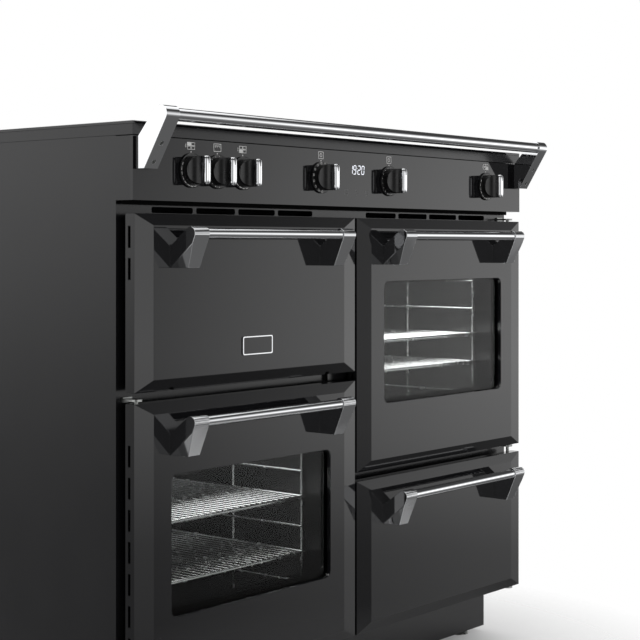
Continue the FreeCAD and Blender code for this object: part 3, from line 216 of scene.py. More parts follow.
def oven_enamel():
    """Vitreous enamel fired on steel: glossy black glass with grey flecks under 1 mm, 6 mm apart."""
    material, tree, sockets, place = new_material("vitreous_enamel", "121213", Roughness=0.16, IOR=1.52)
    cells = add_node(tree, "ShaderNodeTexVoronoi", {"Scale": 1 / (6 * MM)}, {"Vector": place})
    add_node(tree, "ShaderNodeValToRGB", links={"Fac": cells.outputs["Distance"]}, to=sockets["Base Color"],
             stops=((0.06, linear("6a6b6d")), (0.11, linear("121213"))))
    clouds = add_node(tree, "ShaderNodeTexNoise", {"Scale": 1 / (50 * MM), "Detail": 4.0}, {"Vector": place})
    add_node(tree, "ShaderNodeMapRange", {"From Min": 0.3, "From Max": 0.7, "To Min": 0.1, "To Max": 0.26},
             {"Value": clouds.outputs[0]}, sockets["Roughness"])
    # the fired glass flows into waves of about 5 mm
    flow = add_node(tree, "ShaderNodeTexNoise", {"Scale": 1 / (5 * MM), "Detail": 2.0}, {"Vector": place})
    add_node(tree, "ShaderNodeBump", {"Strength": 0.6, "Distance": 0.01 * MM}, {"Height": flow.outputs[0]},
             sockets["Normal"])
    return material


def liner_enamel():
    """Black vitreous enamel of the doors' inner trays, with the same waves of about 6 mm."""
    material, tree, sockets, place = new_material("liner_enamel_black", "141415", Roughness=0.14, IOR=1.52)
    clouds = add_node(tree, "ShaderNodeTexNoise", {"Scale": 1 / (70 * MM), "Detail": 4.0}, {"Vector": place})
    add_node(tree, "ShaderNodeMapRange", {"From Min": 0.3, "From Max": 0.7, "To Min": 0.09, "To Max": 0.2},
             {"Value": clouds.outputs[0]}, sockets["Roughness"])
    flow = add_node(tree, "ShaderNodeTexNoise", {"Scale": 1 / (6 * MM), "Detail": 2.0}, {"Vector": place})
    add_node(tree, "ShaderNodeBump", {"Strength": 0.6, "Distance": 0.01 * MM}, {"Height": flow.outputs[0]},
             sockets["Normal"])
    return material


def seal_braid():
    """Glass-fibre braid round an oven's mouth: matte black with a woven rib of 2 mm."""
    material, tree, sockets, place = new_material("fibre_braid", "151515", Roughness=0.85)
    rib = add_node(tree, "ShaderNodeTexWave", {"Scale": 0.314 / (2 * MM), "Distortion": 1.5}, {"Vector": place},
                   bands_direction="DIAGONAL")
    add_node(tree, "ShaderNodeValToRGB", links={"Fac": rib.outputs["Fac"]}, to=sockets["Base Color"],
             stops=((0.0, linear("0e0e0e")), (1.0, linear("262626"))))
    add_node(tree, "ShaderNodeBump", {"Strength": 0.8, "Distance": 0.3 * MM}, {"Height": rib.outputs["Fac"]},
             sockets["Normal"])
    return material


def chromed_wire():
    """Drawn steel wire, chromed after welding: bright, a little rougher than the polished trim."""
    material, tree, sockets, place = new_material("chromed_wire", "eeeff0", Metallic=1.0, Roughness=0.2)
    plating = add_node(tree, "ShaderNodeTexNoise", {"Scale": 1 / (15 * MM), "Detail": 3.0}, {"Vector": place})
    add_node(tree, "ShaderNodeMapRange", {"From Min": 0.3, "From Max": 0.7, "To Min": 0.16, "To Max": 0.3},
             {"Value": plating.outputs[0]}, sockets["Roughness"])
    return material


def element_sheath():
    """Nickel alloy sheath of a heating element, tinted by heat."""
    material, tree, sockets, place = new_material("heat_tinted_sheath", "4a4542", Metallic=0.9, Roughness=0.42)
    tint = add_node(tree, "ShaderNodeTexNoise", {"Scale": 1 / (30 * MM), "Detail": 3.0}, {"Vector": place})
    add_node(tree, "ShaderNodeValToRGB", links={"Fac": tint.outputs[0]}, to=sockets["Base Color"],
             stops=((0.3, linear("2e2c2d")), (0.7, linear("6b5a4c"))))
    return material


def pressed_steel():
    """Pressed stainless sheet, brushed along one direction with lines of about half a millimetre."""
    material, tree, sockets, place = new_material("pressed_stainless", "9a9b9c", Metallic=1.0, Roughness=0.32)
    drawn = add_node(tree, "ShaderNodeMapping", {"Scale": (1.0, 1.0, 0.04)}, {"Vector": place})
    grain = add_node(tree, "ShaderNodeTexNoise", {"Scale": 1 / (0.5 * MM), "Detail": 2.0},
                     {"Vector": drawn.outputs[0]})
    add_node(tree, "ShaderNodeMapRange", {"From Min": 0.3, "From Max": 0.7, "To Min": 0.26, "To Max": 0.42},
             {"Value": grain.outputs[0]}, sockets["Roughness"])
    add_node(tree, "ShaderNodeBump", {"Strength": 0.5, "Distance": 0.004 * MM}, {"Height": grain.outputs[0]},
             sockets["Normal"])
    return material


def knob_plastic():
    """Moulded heat-proof thermoset: deep black with a low satin gloss and a fine spark-eroded grain."""
    material, tree, sockets, place = new_material("moulded_thermoset", "121213", Roughness=0.28, IOR=1.55)
    gloss = add_node(tree, "ShaderNodeTexNoise", {"Scale": 1 / (20 * MM), "Detail": 3.0}, {"Vector": place})
    add_node(tree, "ShaderNodeMapRange", {"From Min": 0.3, "From Max": 0.7, "To Min": 0.24, "To Max": 0.34},
             {"Value": gloss.outputs[0]}, sockets["Roughness"])
    # grain drawn at 0.6 mm so that it shows
    grain = add_node(tree, "ShaderNodeTexNoise", {"Scale": 1 / (0.6 * MM), "Detail": 2.0}, {"Vector": place})
    add_node(tree, "ShaderNodeBump", {"Strength": 0.5, "Distance": 0.004 * MM}, {"Height": grain.outputs[0]},
             sockets["Normal"])
    return material


def module_plastic():
    """Glass-filled nylon of the switches and the clock: matte, mottled over about 4 mm."""
    material, tree, sockets, place = new_material("filled_nylon", "202322", Roughness=0.6)
    fibres = add_node(tree, "ShaderNodeTexNoise", {"Scale": 1 / (4 * MM), "Detail": 3.0}, {"Vector": place})
    add_node(tree, "ShaderNodeValToRGB", links={"Fac": fibres.outputs[0]}, to=sockets["Base Color"],
             stops=((0.3, linear("191b1b")), (0.7, linear("2a2e2d"))))
    return material


def wound_coil():
    """Litz wire wound on a carrier: lacquered copper strands, mottled over 3 mm."""
    material, tree, sockets, place = new_material("lacquered_copper", "a0643c", Metallic=0.7, Roughness=0.4)
    strand = add_node(tree, "ShaderNodeTexNoise", {"Scale": 1 / (3 * MM), "Detail": 2.0}, {"Vector": place})
    add_node(tree, "ShaderNodeValToRGB", links={"Fac": strand.outputs[0]}, to=sockets["Base Color"],
             stops=((0.3, linear("7c4a2c")), (0.7, linear("b97a4c"))))
    add_node(tree, "ShaderNodeBump", {"Strength": 0.5, "Distance": 0.2 * MM}, {"Height": strand.outputs[0]},
             sockets["Normal"])
    return material


def plated_steel():
    """Zinc-plated turned steel of feet, hinges and screws."""
    material, tree, sockets, place = new_material("zinc_plated_steel", "a4a6a4", Metallic=1.0, Roughness=0.3)
    plating = add_node(tree, "ShaderNodeTexNoise", {"Scale": 1 / (10 * MM), "Detail": 4.0}, {"Vector": place})
    add_node(tree, "ShaderNodeMapRange", {"From Min": 0.3, "From Max": 0.7, "To Min": 0.24, "To Max": 0.42},
             {"Value": plating.outputs[0]}, sockets["Roughness"])
    return material


def printing_ink(name, colour):
    """Screen-printed ceramic ink: flat, opaque and a little uneven over 1.5 mm."""
    material, tree, sockets, place = new_material(name, colour, Roughness=0.45)
    screen = add_node(tree, "ShaderNodeTexNoise", {"Scale": 1 / (1.5 * MM), "Detail": 2.0}, {"Vector": place})
    add_node(tree, "ShaderNodeMapRange", {"From Min": 0.3, "From Max": 0.7, "To Min": 0.38, "To Max": 0.55},
             {"Value": screen.outputs[0]}, sockets["Roughness"])
    return material


def painted_shade_foam():
    """Closed-cell foam rubber, dead black, with cut cells of about 1 mm and almost no gloss: painted shade for where
    the control panel's overhang shades.
    """
    # the colour 0b0b0b and the Specular IOR Level of 0.1 are painted shade
    material, tree, sockets, place = new_material("painted_shade_foam_rubber", "0b0b0b", Roughness=0.9,
                                                  Specular_IOR_Level=0.1)
    cells = add_node(tree, "ShaderNodeTexVoronoi", {"Scale": 1 / MM}, {"Vector": place})
    add_node(tree, "ShaderNodeBump", {"Strength": 0.7, "Distance": 0.1 * MM},
             {"Height": cells.outputs["Distance"]}, sockets["Normal"])
    return material


def lit_segment():
    """White light of the clock's segments."""
    return new_material("lit_segment", "f4f7ff", Roughness=0.4, Emission_Strength=0.9,
                        Emission_Color=linear("f2f6ff"))[0]


def lamp_glass():
    """Ribbed borosilicate cover of an oven lamp, ribs 3 mm apart."""
    material, tree, sockets, place = new_material("ribbed_borosilicate", "f1f3f2", Roughness=0.12, IOR=1.47)
    rib = add_node(tree, "ShaderNodeTexWave", {"Scale": 0.314 / (3 * MM)}, {"Vector": place}, bands_direction="Z")
    add_node(tree, "ShaderNodeBump", {"Strength": 0.6, "Distance": 0.4 * MM}, {"Height": rib.outputs["Fac"]},
             sockets["Normal"])
    return material


FINISH = {
    "door_enamel": gloss_enamel, "printed_black_glass": printed_glass, "window_glass": window_glass,
    "bright_chrome": bright_chrome, "carcass_enamel": satin_enamel, "zinc_sheet": zinc_sheet,
    "oven_enamel": oven_enamel, "liner_enamel": liner_enamel, "seal_rubber": seal_braid,
    "chromed_wire": chromed_wire, "element_steel": element_sheath, "fan_steel": pressed_steel,
    "knob_plastic": knob_plastic, "module_plastic": module_plastic, "coil_alloy": wound_coil,
    "foot_steel": plated_steel, "ceramic": ceramic_hob, "painted_shade_foam": painted_shade_foam, "lit_segment": lit_segment,
    "lamp_glass": lamp_glass,
}
made = {}


def finish(name):
    """The material made for a slot of the record or a fitting, made once."""
    if name not in made:
        made[name] = FINISH[name]()
    return made[name]


def ink(name, colour):
    """The material made for an ink, made once."""
    if name not in made:
        made[name] = printing_ink(name, colour)
    return made[name]


# ---------------------------------------------------------------- meshes
def new_piece(name, vertices, faces, material, body, smooth=False):
    """Puts computed vertices and faces into a mesh that rides on a body."""
    mesh = bpy.data.meshes.new(name)
    mesh.from_pydata(np.asarray(vertices, float).tolist(), [], faces)
    mesh.materials.append(material)
    if smooth:
        mesh.polygons.foreach_set("use_smooth", np.ones(len(mesh.polygons), bool))
    mesh.update()
    piece = bpy.data.objects.new(name, mesh)
    bpy.context.scene.collection.objects.link(piece)
    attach(piece, body)
    return piece


def grid_faces(index):
    """Four-sided faces between the rows and columns of a grid of vertex numbers."""
    return np.stack([index[:-1, :-1], index[:-1, 1:], index[1:, 1:], index[1:, :-1]], axis=2).reshape(-1, 4)


def plate_faces(index, count, closed=False):
    """Faces of a thin plate: a grid of vertex numbers, the same grid count numbers on, and the walls between."""
    if closed:
        loops = [index[0], index[-1, ::-1]]
    else:
        loops = [np.concatenate([index[0], index[1:, -1], index[-1, -2::-1], index[-2:0:-1, 0], index[:1, 0]])]
    front = grid_faces(index)
    walls = [np.stack([loop[:-1], loop[:-1] + count, loop[1:] + count, loop[1:]], axis=1) for loop in loops]
    return np.concatenate([front, front[:, ::-1] + count, *walls])


def ring_faces(rows, columns):
    """Faces of rows of rings between two poles, which are the first and the last vertex."""
    index = 1 + np.arange(rows * columns).reshape(rows, columns)
    index = np.hstack([index, index[:, :1]])
    first = np.stack([np.zeros(columns, int), index[0, 1:], index[0, :-1]], axis=1)
    last = np.stack([np.full(columns, 1 + rows * columns), index[-1, :-1], index[-1, 1:]], axis=1)
    return first.tolist() + grid_faces(index).tolist() + last.tolist()


def bar(x0, z0, x1, z1, width):
    """Patch of a straight line: p(u, v) = start + u (end - start) + (v - 1/2) width across it."""
    start = np.array([x0, z0])
    along = np.array([x1, z1]) - start
    across = np.array([-along[1], along[0]]) / np.hypot(*along) * width / 2
    return np.array([[start - across, start + along - across], [start + across, start + along + across]]), False


def arc(x, z, radius, width, first, last, steps=12):
    """Patch of an arc: p(t, v) = centre + (radius + (v - 1/2) width) (cos t, sin t), t in degrees."""
    angle = np.radians(np.linspace(first, last, steps + 1))
    spokes = np.stack([np.cos(angle), np.sin(angle)], axis=1)
    radii = np.array([radius + width / 2, radius - width / 2])
    return np.array([x, z]) + radii[:, None, None] * spokes, abs(last - first) >= 360


def oval(x, z, half_x, half_z, width, steps=20):
    """Closed band round an ellipse: the half axes grow and shrink by half the width."""
    angle = np.linspace(0, TURN, steps + 1)
    grow = np.array([width / 2, -width / 2])[:, None]
    return np.stack([x + (half_x + grow) * np.cos(angle), z + (half_z + grow) * np.sin(angle)], axis=2), True


def frame_mark(x, z, half_x, half_z, width):
    """Closed band round a rectangle: its corners move out and in by half the width."""
    signs = np.array([[-1, -1], [1, -1], [1, 1], [-1, 1], [-1, -1]], float)
    grow = np.array([width / 2, -width / 2])[:, None, None]
    return np.array([x, z]) + signs * (np.array([half_x, half_z]) + grow), True


def disc(x, z, radius, count=5):
    """Filled disc: a square grid (a, b) from -1 to 1 drawn in to (a sqrt(1 - b b / 2), b sqrt(1 - a a / 2))."""
    a, b = np.meshgrid(np.linspace(-1, 1, count), np.linspace(-1, 1, count))
    round_a = a * np.sqrt(1 - b * b / 2)
    round_b = b * np.sqrt(1 - a * a / 2)
    return np.stack([x + radius * round_a, z + radius * round_b], axis=2), False


def filled(x, z, half_x, half_z):
    """Filled rectangle."""
    return bar(x - half_x, z, x + half_x, z, 2 * half_z)


def slab(patches, depth=INK_DEPTH):
    """Closed thin plates from (x, z) patches in millimetres: a front and a back layer and a wall round each."""
    vertices = []
    faces = []
    base = 0
    for points, closed in patches:
        points = points * MM
        rows, columns = points.shape[:2]
        edge = points[:, 1] - points[:, 0]
        rise = points[1] - points[0]
        if edge[0, 0] * rise[0, 1] - edge[0, 1] * rise[0, 0] < 0:
            points = points[::-1]
        if closed:
            points = points[:, :-1]
            columns -= 1
        count = rows * columns
        flat = points.reshape(-1, 2)
        for y in (-depth, 0.0):
            vertices.append(np.stack([flat[:, 0], np.full(count, y), flat[:, 1]], axis=1))
        index = np.arange(count).reshape(rows, columns)
        if closed:
            index = np.hstack([index, index[:, :1]])
        faces.append(plate_faces(index, count, closed) + base)
        base += 2 * count
    return np.concatenate(vertices), np.concatenate(faces).tolist()


def print_marks(name, patches, y, material, body, depth=INK_DEPTH):
    """Prints patches on a plane that faces the front at y."""
    vertices, faces = slab(patches, depth)
    vertices[:, 1] += y
    return new_piece(name, vertices, faces, material, body)


def lathe(profile, centre, axis, steps=32, socket=None):
    """Turned solid: each (radius, height) of the profile is carried round the axis by an angle t.

    Rows listed in socket are six-sided: their radius is divided by cos of t folded into 60 degree sectors.
    Both ends of the profile lie on the axis, where one vertex closes the pole.
    """
    profile = np.asarray(profile, float)
    angle = np.linspace(0, TURN, steps, endpoint=False)
    radii = np.repeat(profile[1:-1, :1], steps, axis=1)
    sector = math.pi / 3
    for row in socket or ():
        radii[row] = radii[row] / np.cos((angle % sector) - sector / 2)
    axis = np.asarray(axis, float) / np.linalg.norm(axis)
    side = np.cross(axis, [0.0, 0.0, 1.0] if abs(axis[2]) < 0.9 else [1.0, 0.0, 0.0])
    side /= np.linalg.norm(side)
    third = np.cross(axis, side)
    spokes = np.cos(angle)[:, None] * side + np.sin(angle)[:, None] * third
    rings = radii[:, :, None] * spokes + profile[1:-1, 1][:, None, None] * axis
    points = np.concatenate([profile[:1, 1:] * axis, rings.reshape(-1, 3), profile[-1:, 1:] * axis])
    return points + np.asarray(centre, float), ring_faces(len(rings), steps)


def barrel(low, high, edge, rows=24, columns=40):
    """Rounded bar that fills a box: p(u, v) = middle + half size (cos u cos v, sin u cos v, sin v).

    Each cosine and sine keeps its sign and is raised to edge, or to edge / 2 along z, which squares the bar.
    """
    low = np.array(low)
    high = np.array(high)
    u = np.linspace(0, TURN, columns, endpoint=False)
    v = np.linspace(-math.pi / 2, math.pi / 2, rows + 1)[1:-1, None]
    squared = [np.sign(w) * np.abs(w) ** power
               for w, power in ((np.cos(u), edge), (np.sin(u), edge), (np.cos(v), edge / 2), (np.sin(v), edge / 2))]
    rings = np.stack([squared[0] * squared[2], squared[1] * squared[2], squared[3] + 0 * squared[0]], axis=2)
    points = np.concatenate([[[0, 0, -1]], rings.reshape(-1, 3), [[0, 0, 1]]]) * (high - low) / 2
    return points + (low + high) / 2, ring_faces(rows - 1, columns)


def joined(parts):
    """Several (vertices, faces) pairs as one."""
    vertices = []
    faces = []
    base = 0
    for points, sides in parts:
        vertices.append(points)
        faces += [[base + i for i in side] for side in sides]
        base += len(points)
    return np.concatenate(vertices), faces


def softened(node, width, slot, segments=2, limit=30.0):
    """Copy of a CAD node with its sharp edges rounded off by width, which stands for the node."""
    source = frame["nodes"][node]
    mesh = source.data.copy()
    mesh.materials.clear()
    mesh.materials.append(finish(slot))
    shape = bmesh.new()
    shape.from_mesh(mesh)
    bmesh.ops.remove_doubles(shape, verts=shape.verts, dist=0.002 * MM)
    bmesh.ops.dissolve_limit(shape, angle_limit=math.radians(0.5), verts=shape.verts, edges=shape.edges)
    for face in shape.faces:
        face.smooth = True
    shape.to_mesh(mesh)
    shape.free()
    for name in ("custom_normal", "sharp_edge", "sharp_face"):
        if name in mesh.attributes:
            mesh.attributes.remove(mesh.attributes[name])
    piece = bpy.data.objects.new(node + "_softened", mesh)
    bpy.context.scene.collection.objects.link(piece)
    rounding = piece.modifiers.new("rounding", "BEVEL")
    rounding.width = width
    rounding.segments = segments
    rounding.limit_method = "ANGLE"
    rounding.angle_limit = math.radians(limit)
    rounding.harden_normals = True
    rounding.use_clamp_overlap = True
    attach(piece, source["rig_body"])
    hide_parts(node)
    return piece


# ---------------------------------------------------------------- sizes and colours a user may change
class CookerPrint(bpy.types.PropertyGroup):
    """Sizes of the printed marks."""

    line: bpy.props.FloatProperty(name="Line", description="Width of a printed line, in millimetres",
                                  default=0.9, min=0.3, max=2.0)
    icon: bpy.props.FloatProperty(name="Icon", description="Height of the symbol above a dial, in millimetres",
                                  default=10.8, min=5.0, max=14.0)
    digit: bpy.props.FloatProperty(name="Digit", description="Height of the clock's digits, in millimetres",
                                   default=13.6, min=6.0, max=18.0)
    ink: bpy.props.StringProperty(name="Ink", description="Colour of the marks, as an sRGB hex code",
                                  default="fbfbf9")
    dim: bpy.props.StringProperty(name="Unlit keys", description="Colour of the touch keys, as an sRGB hex code",
                                  default="6d6d6d")


class CookerEdges(bpy.types.PropertyGroup):
    """Rounding of the edges."""

    chrome: bpy.props.FloatProperty(name="Chrome", description="Rounding of the chromed castings",
                                    default=0.7 * MM, unit="LENGTH")
    sheet: bpy.props.FloatProperty(name="Sheet", description="Rounding of folded sheet", default=0.6 * MM,
                                   unit="LENGTH")
    knob: bpy.props.FloatProperty(name="Knob", description="Rounding of the knobs", default=0.5 * MM,
                                  unit="LENGTH")
    cap: bpy.props.FloatProperty(name="Cap", description="Squareness of the knobs' chrome caps, from 0 to 1",
                                 default=0.75, min=0.2, max=1.0)


class CookerStage(bpy.types.PropertyGroup):
    """Floor, light and camera."""

    floor: bpy.props.FloatProperty(name="Floor", description="Radius of the floor", default=0.88, unit="LENGTH")
    pale: bpy.props.StringProperty(name="Floor colour", description="Colour of the floor, as an sRGB hex code",
                                   default="f2f2f2")
    light: bpy.props.FloatProperty(name="Light", description="Strength of the brightest part of the studio",
                                   default=1.6, min=0.0)
    lens: bpy.props.FloatProperty(name="Lens", description="Focal length of the camera in millimetres",
                                  default=86.743, min=10.0)


# ---------------------------------------------------------------- studio
# levels by elevation that all ways round share: a dark cove and the ceiling
CEILING = ((21, 0.18), (25, 0.06), (38, 0.06), (42, 1.3), (90, 1.3))
# levels by elevation: pale walls, walls over a dark ground, the side box and the front boxes
STUDIO_LEVELS = (
    ((-90, 0.8), (-20, 0.8), (-14, 1.0), (18, 1.0)),
    ((-90, 0.12), (-22, 0.12), (-16, 1.0), (18, 1.0)),
    ((-90, 0.2), (-12, 0.22), (-6, 0.45), (0, 1.0), (4, 1.3), (18, 1.3)),
    ((-90, 0.1), (-24, 0.12), (-16, 0.36), (-11, 0.6), (-7, 1.3), (-4, 1.6), (2, 1.6), (6, 1.35), (10, 0.95),
     (15, 0.48), (18, 0.32)))
# by azimuth: share of the front boxes, share of the dark ground, level, share of the side box
STUDIO_SHARES = (
    (-180, (0, 1, 1, 0)), (-156, (0, 1, 1, 0)), (-150, (0, 0, 0.15, 0)), (-118, (0, 0, 0.15, 0)),
    (-110, (0, 0, 1, 0)), (-90, (0.5, 0.5, 1, 0)), (-80, (1, 0, 1, 0)), (-59, (1, 0, 0.95, 0)),
    (-55, (1, 0, 0.32, 0)), (-49, (1, 0, 0.4, 0)), (-45, (1, 0, 0.55, 0)), (-40, (1, 0, 0.84, 0)),
    (-34, (1, 0, 1, 0)), (-22, (1, 0, 0.97, 0)), (-16, (1, 0, 0.76, 0)), (-8, (1, 0, 0.8, 0)),
    (6, (0, 1, 1, 0)), (60, (0, 1, 1, 0)), (72, (0, 0, 1, 0)), (110, (0, 0, 1, 0)),
    (118, (0, 0, 1, 1)), (146, (0, 0, 1, 1)), (156, (0, 1, 1, 0)), (180, (0, 1, 1, 0)))


# ---------------------------------------------------------------- operators
class COOKER_OT_materials(bpy.types.Operator):
    """Gives every carried-over piece its material"""

    bl_idname = "cooker.materials"
    bl_label = "Materials"

    def execute(self, context):
        for name, node in frame["nodes"].items():
            for place in node.material_slots:
                place.material = finish(place.material.name.split(".")[0])
        frame["nodes"]["hob_glass"].material_slots[0].material = finish("ceramic")
        return {"FINISHED"}


class COOKER_OT_trim(bpy.types.Operator):
    """Rounds the edges of the chromed castings and the badge plate"""

    bl_idname = "cooker.trim"
    bl_label = "Chrome trim"

    def execute(self, context):
        width = context.scene.cooker_edges.chrome
        for oven in OVENS:
            softened(oven + "_handle_brackets", width, "bright_chrome", 3, 8.0)
        softened("rail_brackets", width, "bright_chrome", 3)
        softened("badge_plate", 0.3 * MM, "bright_chrome")
        low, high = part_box("badge_plate")
        centre = (low + high) / 2 / MM
        half = (high - low) / 2 / MM
        rim = 1.8
        sunk = 0.85
        field = filled(centre.x, centre.z, half.x - rim, half.z - rim)
        print_marks("badge_field", [field], low.y + sunk * MM, finish("door_enamel"),
                    frame["nodes"]["badge_plate"]["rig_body"], 0.3 * MM)
        return {"FINISHED"}


class COOKER_OT_duct(bpy.types.Operator):
    """Fills the gap under the control panel with a dead black strip that stands for its shade, painted shade, and
    folds the sheet of the cooling duct behind the slots
    """

    bl_idname = "cooker.duct"
    bl_label = "Cooling duct"

    def execute(self, context):
        low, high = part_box("front_frame")
        under = FASCIA_LOW.z / MM
        half = high.x / MM - 1.0
        half_shade_strip = 2.7
        # a dead black foam strip under the panel's lower edge stands in for the shade of its overhang: painted shade
        strip = filled(0.0, under - half_shade_strip, half, half_shade_strip)
        print_marks("panel_seal", [strip], low.y, finish("painted_shade_foam"), "carcass", 0.6 * MM)
        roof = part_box("grill_cavity")[1].z / MM
        # the sheet is p(u, v) = (u, back - depth v, roof + rise v), bent over once at the top
        profile = np.array([(70.0, roof + 3.0), (10.0, roof + 40.0), (0.0, roof + 75.0)]) * MM
        columns = 5
        margin = 4.0
        thickness = 0.8 * MM
        x = np.linspace(-half + margin, half - margin, columns) * MM
        layers = [[np.stack([x, np.full(columns, low.y + y + shift), np.full(columns, z)], axis=1)
                   for y, z in profile] for shift in (0.0, thickness)]
        count = len(profile) * columns
        faces = plate_faces(np.arange(count).reshape(-1, columns), count)
        new_piece("duct_sheet", np.array(layers).reshape(-1, 3), faces.tolist(), finish("carcass_enamel"),
                  "carcass")
        return {"FINISHED"}


class COOKER_OT_doors(bpy.types.Operator):
    """Rounds the folded edges of the doors and of the hob's rim"""

    bl_idname = "cooker.doors"
    bl_label = "Doors and hob rim"

    def execute(self, context):
        width = context.scene.cooker_edges.sheet
        for oven in OVENS:
            softened(oven + "_door_panel", width, "door_enamel", limit=5.0)
        softened("hob_frame", width, "carcass_enamel")
        return {"FINISHED"}


class COOKER_OT_knobs(bpy.types.Operator):
    """Rounds the knobs and their chrome caps"""

    bl_idname = "cooker.knobs"
    bl_label = "Knobs"

    def execute(self, context):
        edges = context.scene.cooker_edges
        for number in KNOBS:
            softened("knob_%d" % number, edges.knob, "knob_plastic")
            node = "knob_cap_%d" % number
            body = "control_knob_%d" % number
            low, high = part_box(node)
            # the cap laps over the grip on three sides
            vertices, faces = barrel((low.x - CAP_LAP, low.y, low.z), (high.x + CAP_LAP, high.y + CAP_REACH, high.z),
                                     edges.cap)
            cap = new_piece(node + "_rounded", vertices, faces, finish("bright_chrome"), body, True)
            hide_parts(node)
            x = middle(node).x / MM
            top = high.z / MM
            print_marks("knob_pointer_%d" % number, [bar(x, top - 11.0, x, top - 3.0, 1.3)], low.y + 0.6 * MM,
                        finish("knob_plastic"), body, 0.64 * MM)
        return {"FINISHED"}


class COOKER_OT_fascia_marks(bpy.types.Operator):
    """Prints the symbols above the dials"""

    bl_idname = "cooker.fascia_marks"
    bl_label = "Symbols on the panel"

    def execute(self, context):
        marks = context.scene.cooker_print
        line = marks.line
        half = marks.icon / 2
        z = middle("knob_1").z / MM + 35.5
        patches = []
        for number in KNOBS:
            x = middle("knob_%d" % number).x / MM
            patches.append(disc(x, z - half - 3.4, 1.1))
            if number in ZONES:
                patches += self.zone_symbol(x, z, half, line, ZONES[number])
            elif number == 2:
                patches.append(frame_mark(x, z, 1.4 * half, half, line))
                patches += [bar(x + t * half, z + 0.5 * half, x + t * half, z, line) for t in (-0.7, 0.0, 0.7)]
                patches.append(bar(x - half, z + 0.5 * half, x + half, z + 0.5 * half, line))
            else:
                patches.append(frame_mark(x, z, 1.1 * half, half, line))
                patches.append(oval(x, z, 0.45 * half, 0.5 * half, line))
        print_marks("panel_symbols", patches, FRONT_Y, ink("white_ink", marks.ink), "carcass")
        return {"FINISHED"}

    @staticmethod
    def zone_symbol(x, z, half, line, zone):
        """Four fields for the four corners of the hob, one of them filled, and a short bar beside them."""
        patches = [bar(x - 2.0 * half, z + 0.5 * half, x - 2.0 * half, z - 0.5 * half, line)]
        for column in (-1, 1):
            for row in (-1, 1):
                cx = x + column * 0.75 * half
                cz = z + row * 0.5 * half
                if (column, row) == zone:
                    patches.append(filled(cx, cz, 0.75 * half - 0.1, 0.5 * half - 0.1))
                else:
                    patches.append(frame_mark(cx, cz, 0.75 * half - 0.1 - line / 2, 0.5 * half - 0.1 - line / 2,
                                              line * 0.8))
        return patches


class COOKER_OT_dial_marks(bpy.types.Operator):
    """Prints the scales on the dials"""

    bl_idname = "cooker.dial_marks"
    bl_label = "Scales on the dials"

    def execute(self, context):
        marks = context.scene.cooker_print
        line = marks.line
        for number in KNOBS:
            node = "knob_%d" % number
            x = middle(node).x / MM
            z = middle(node).z / MM
            if number == 4:
                patches = []
                for angle in range(75, 290, 24):
                    t = math.radians(angle)
                    patches.append(frame_mark(x + 22.7 * math.cos(t), z + 22.7 * math.sin(t), 1.4, 1.4,
                                              line * 0.6))
            elif number in ZONES:
                patches = [arc(x, z, 23.0, line, 150 + 18 * i, 150 + 18 * i + 12, 4) for i in range(8)]
            else:
                patches = [disc(x + 22.8 * math.cos(math.radians(a)), z + 22.8 * math.sin(math.radians(a)), 0.6)
                           for a in range(90, 280, 20)]
            print_marks("dial_scale_%d" % number, patches, FRONT_Y - DIAL_RISE, ink("white_ink", marks.ink),
                        "control_knob_%d" % number)
        return {"FINISHED"}


class COOKER_OT_clock(bpy.types.Operator):
    """Lights the clock's digits and prints the touch keys"""

    bl_idname = "cooker.clock"
    bl_label = "Clock and touch keys"

    SEGMENTS = {"0": "abcdef", "1": "bc", "2": "abged", "9": "abcdfg"}

    def execute(self, context):
        marks = context.scene.cooker_print
        height = marks.digit
        width = 0.46 * height
        lean = 0.1
        low = 848.2
        patches = []
        for digit, left in (("1", -15.6), ("9", -6.6), ("2", 4.8), ("0", 14.9)):
            patches += self.digit(digit, left, low, width, height, lean)
        patches += [disc(2.7 + lean * height * t, low + height * t, 0.6) for t in (0.3, 0.68)]
        print_marks("clock_digits", patches, FRONT_Y, finish("lit_segment"), "carcass")
        line = 0.9
        keys = [frame_mark(-24.5, 818, 4.0, 4.6, line), bar(-26.5, 818, -22.5, 818, line),
                oval(0.7, 818, 3.6, 5.0, line, 4), frame_mark(0.7, 818, 0.8, 0.8, line),
                frame_mark(27.4, 820, 3.8, 2.6, line), bar(23.6, 814, 31.2, 814, line)]
        print_marks("touch_keys", keys, FRONT_Y, ink("grey_ink", marks.dim), "carcass")
        return {"FINISHED"}

    @classmethod
    def digit(cls, digit, left, low, width, height, lean):
        """The lit segments of one digit as bars, leaning to the right."""
        line = 1.35
        gap = 0.5
        corners = {"a": ((0, 1), (1, 1)), "b": ((1, 1), (1, 0.5)), "c": ((1, 0.5), (1, 0)), "d": ((0, 0), (1, 0)),
                   "e": ((0, 0.5), (0, 0)), "f": ((0, 1), (0, 0.5)), "g": ((0, 0.5), (1, 0.5))}
        patches = []
        for name in cls.SEGMENTS[digit]:
            ends = []
            for u, v in corners[name]:
                ends.append(np.array([left + u * width + lean * v * height, low + v * height]))
            along = (ends[1] - ends[0]) / np.hypot(*(ends[1] - ends[0]))
            start = ends[0] + gap * along
            end = ends[1] - gap * along
            patches.append(bar(start[0], start[1], end[0], end[1], line))
        return patches


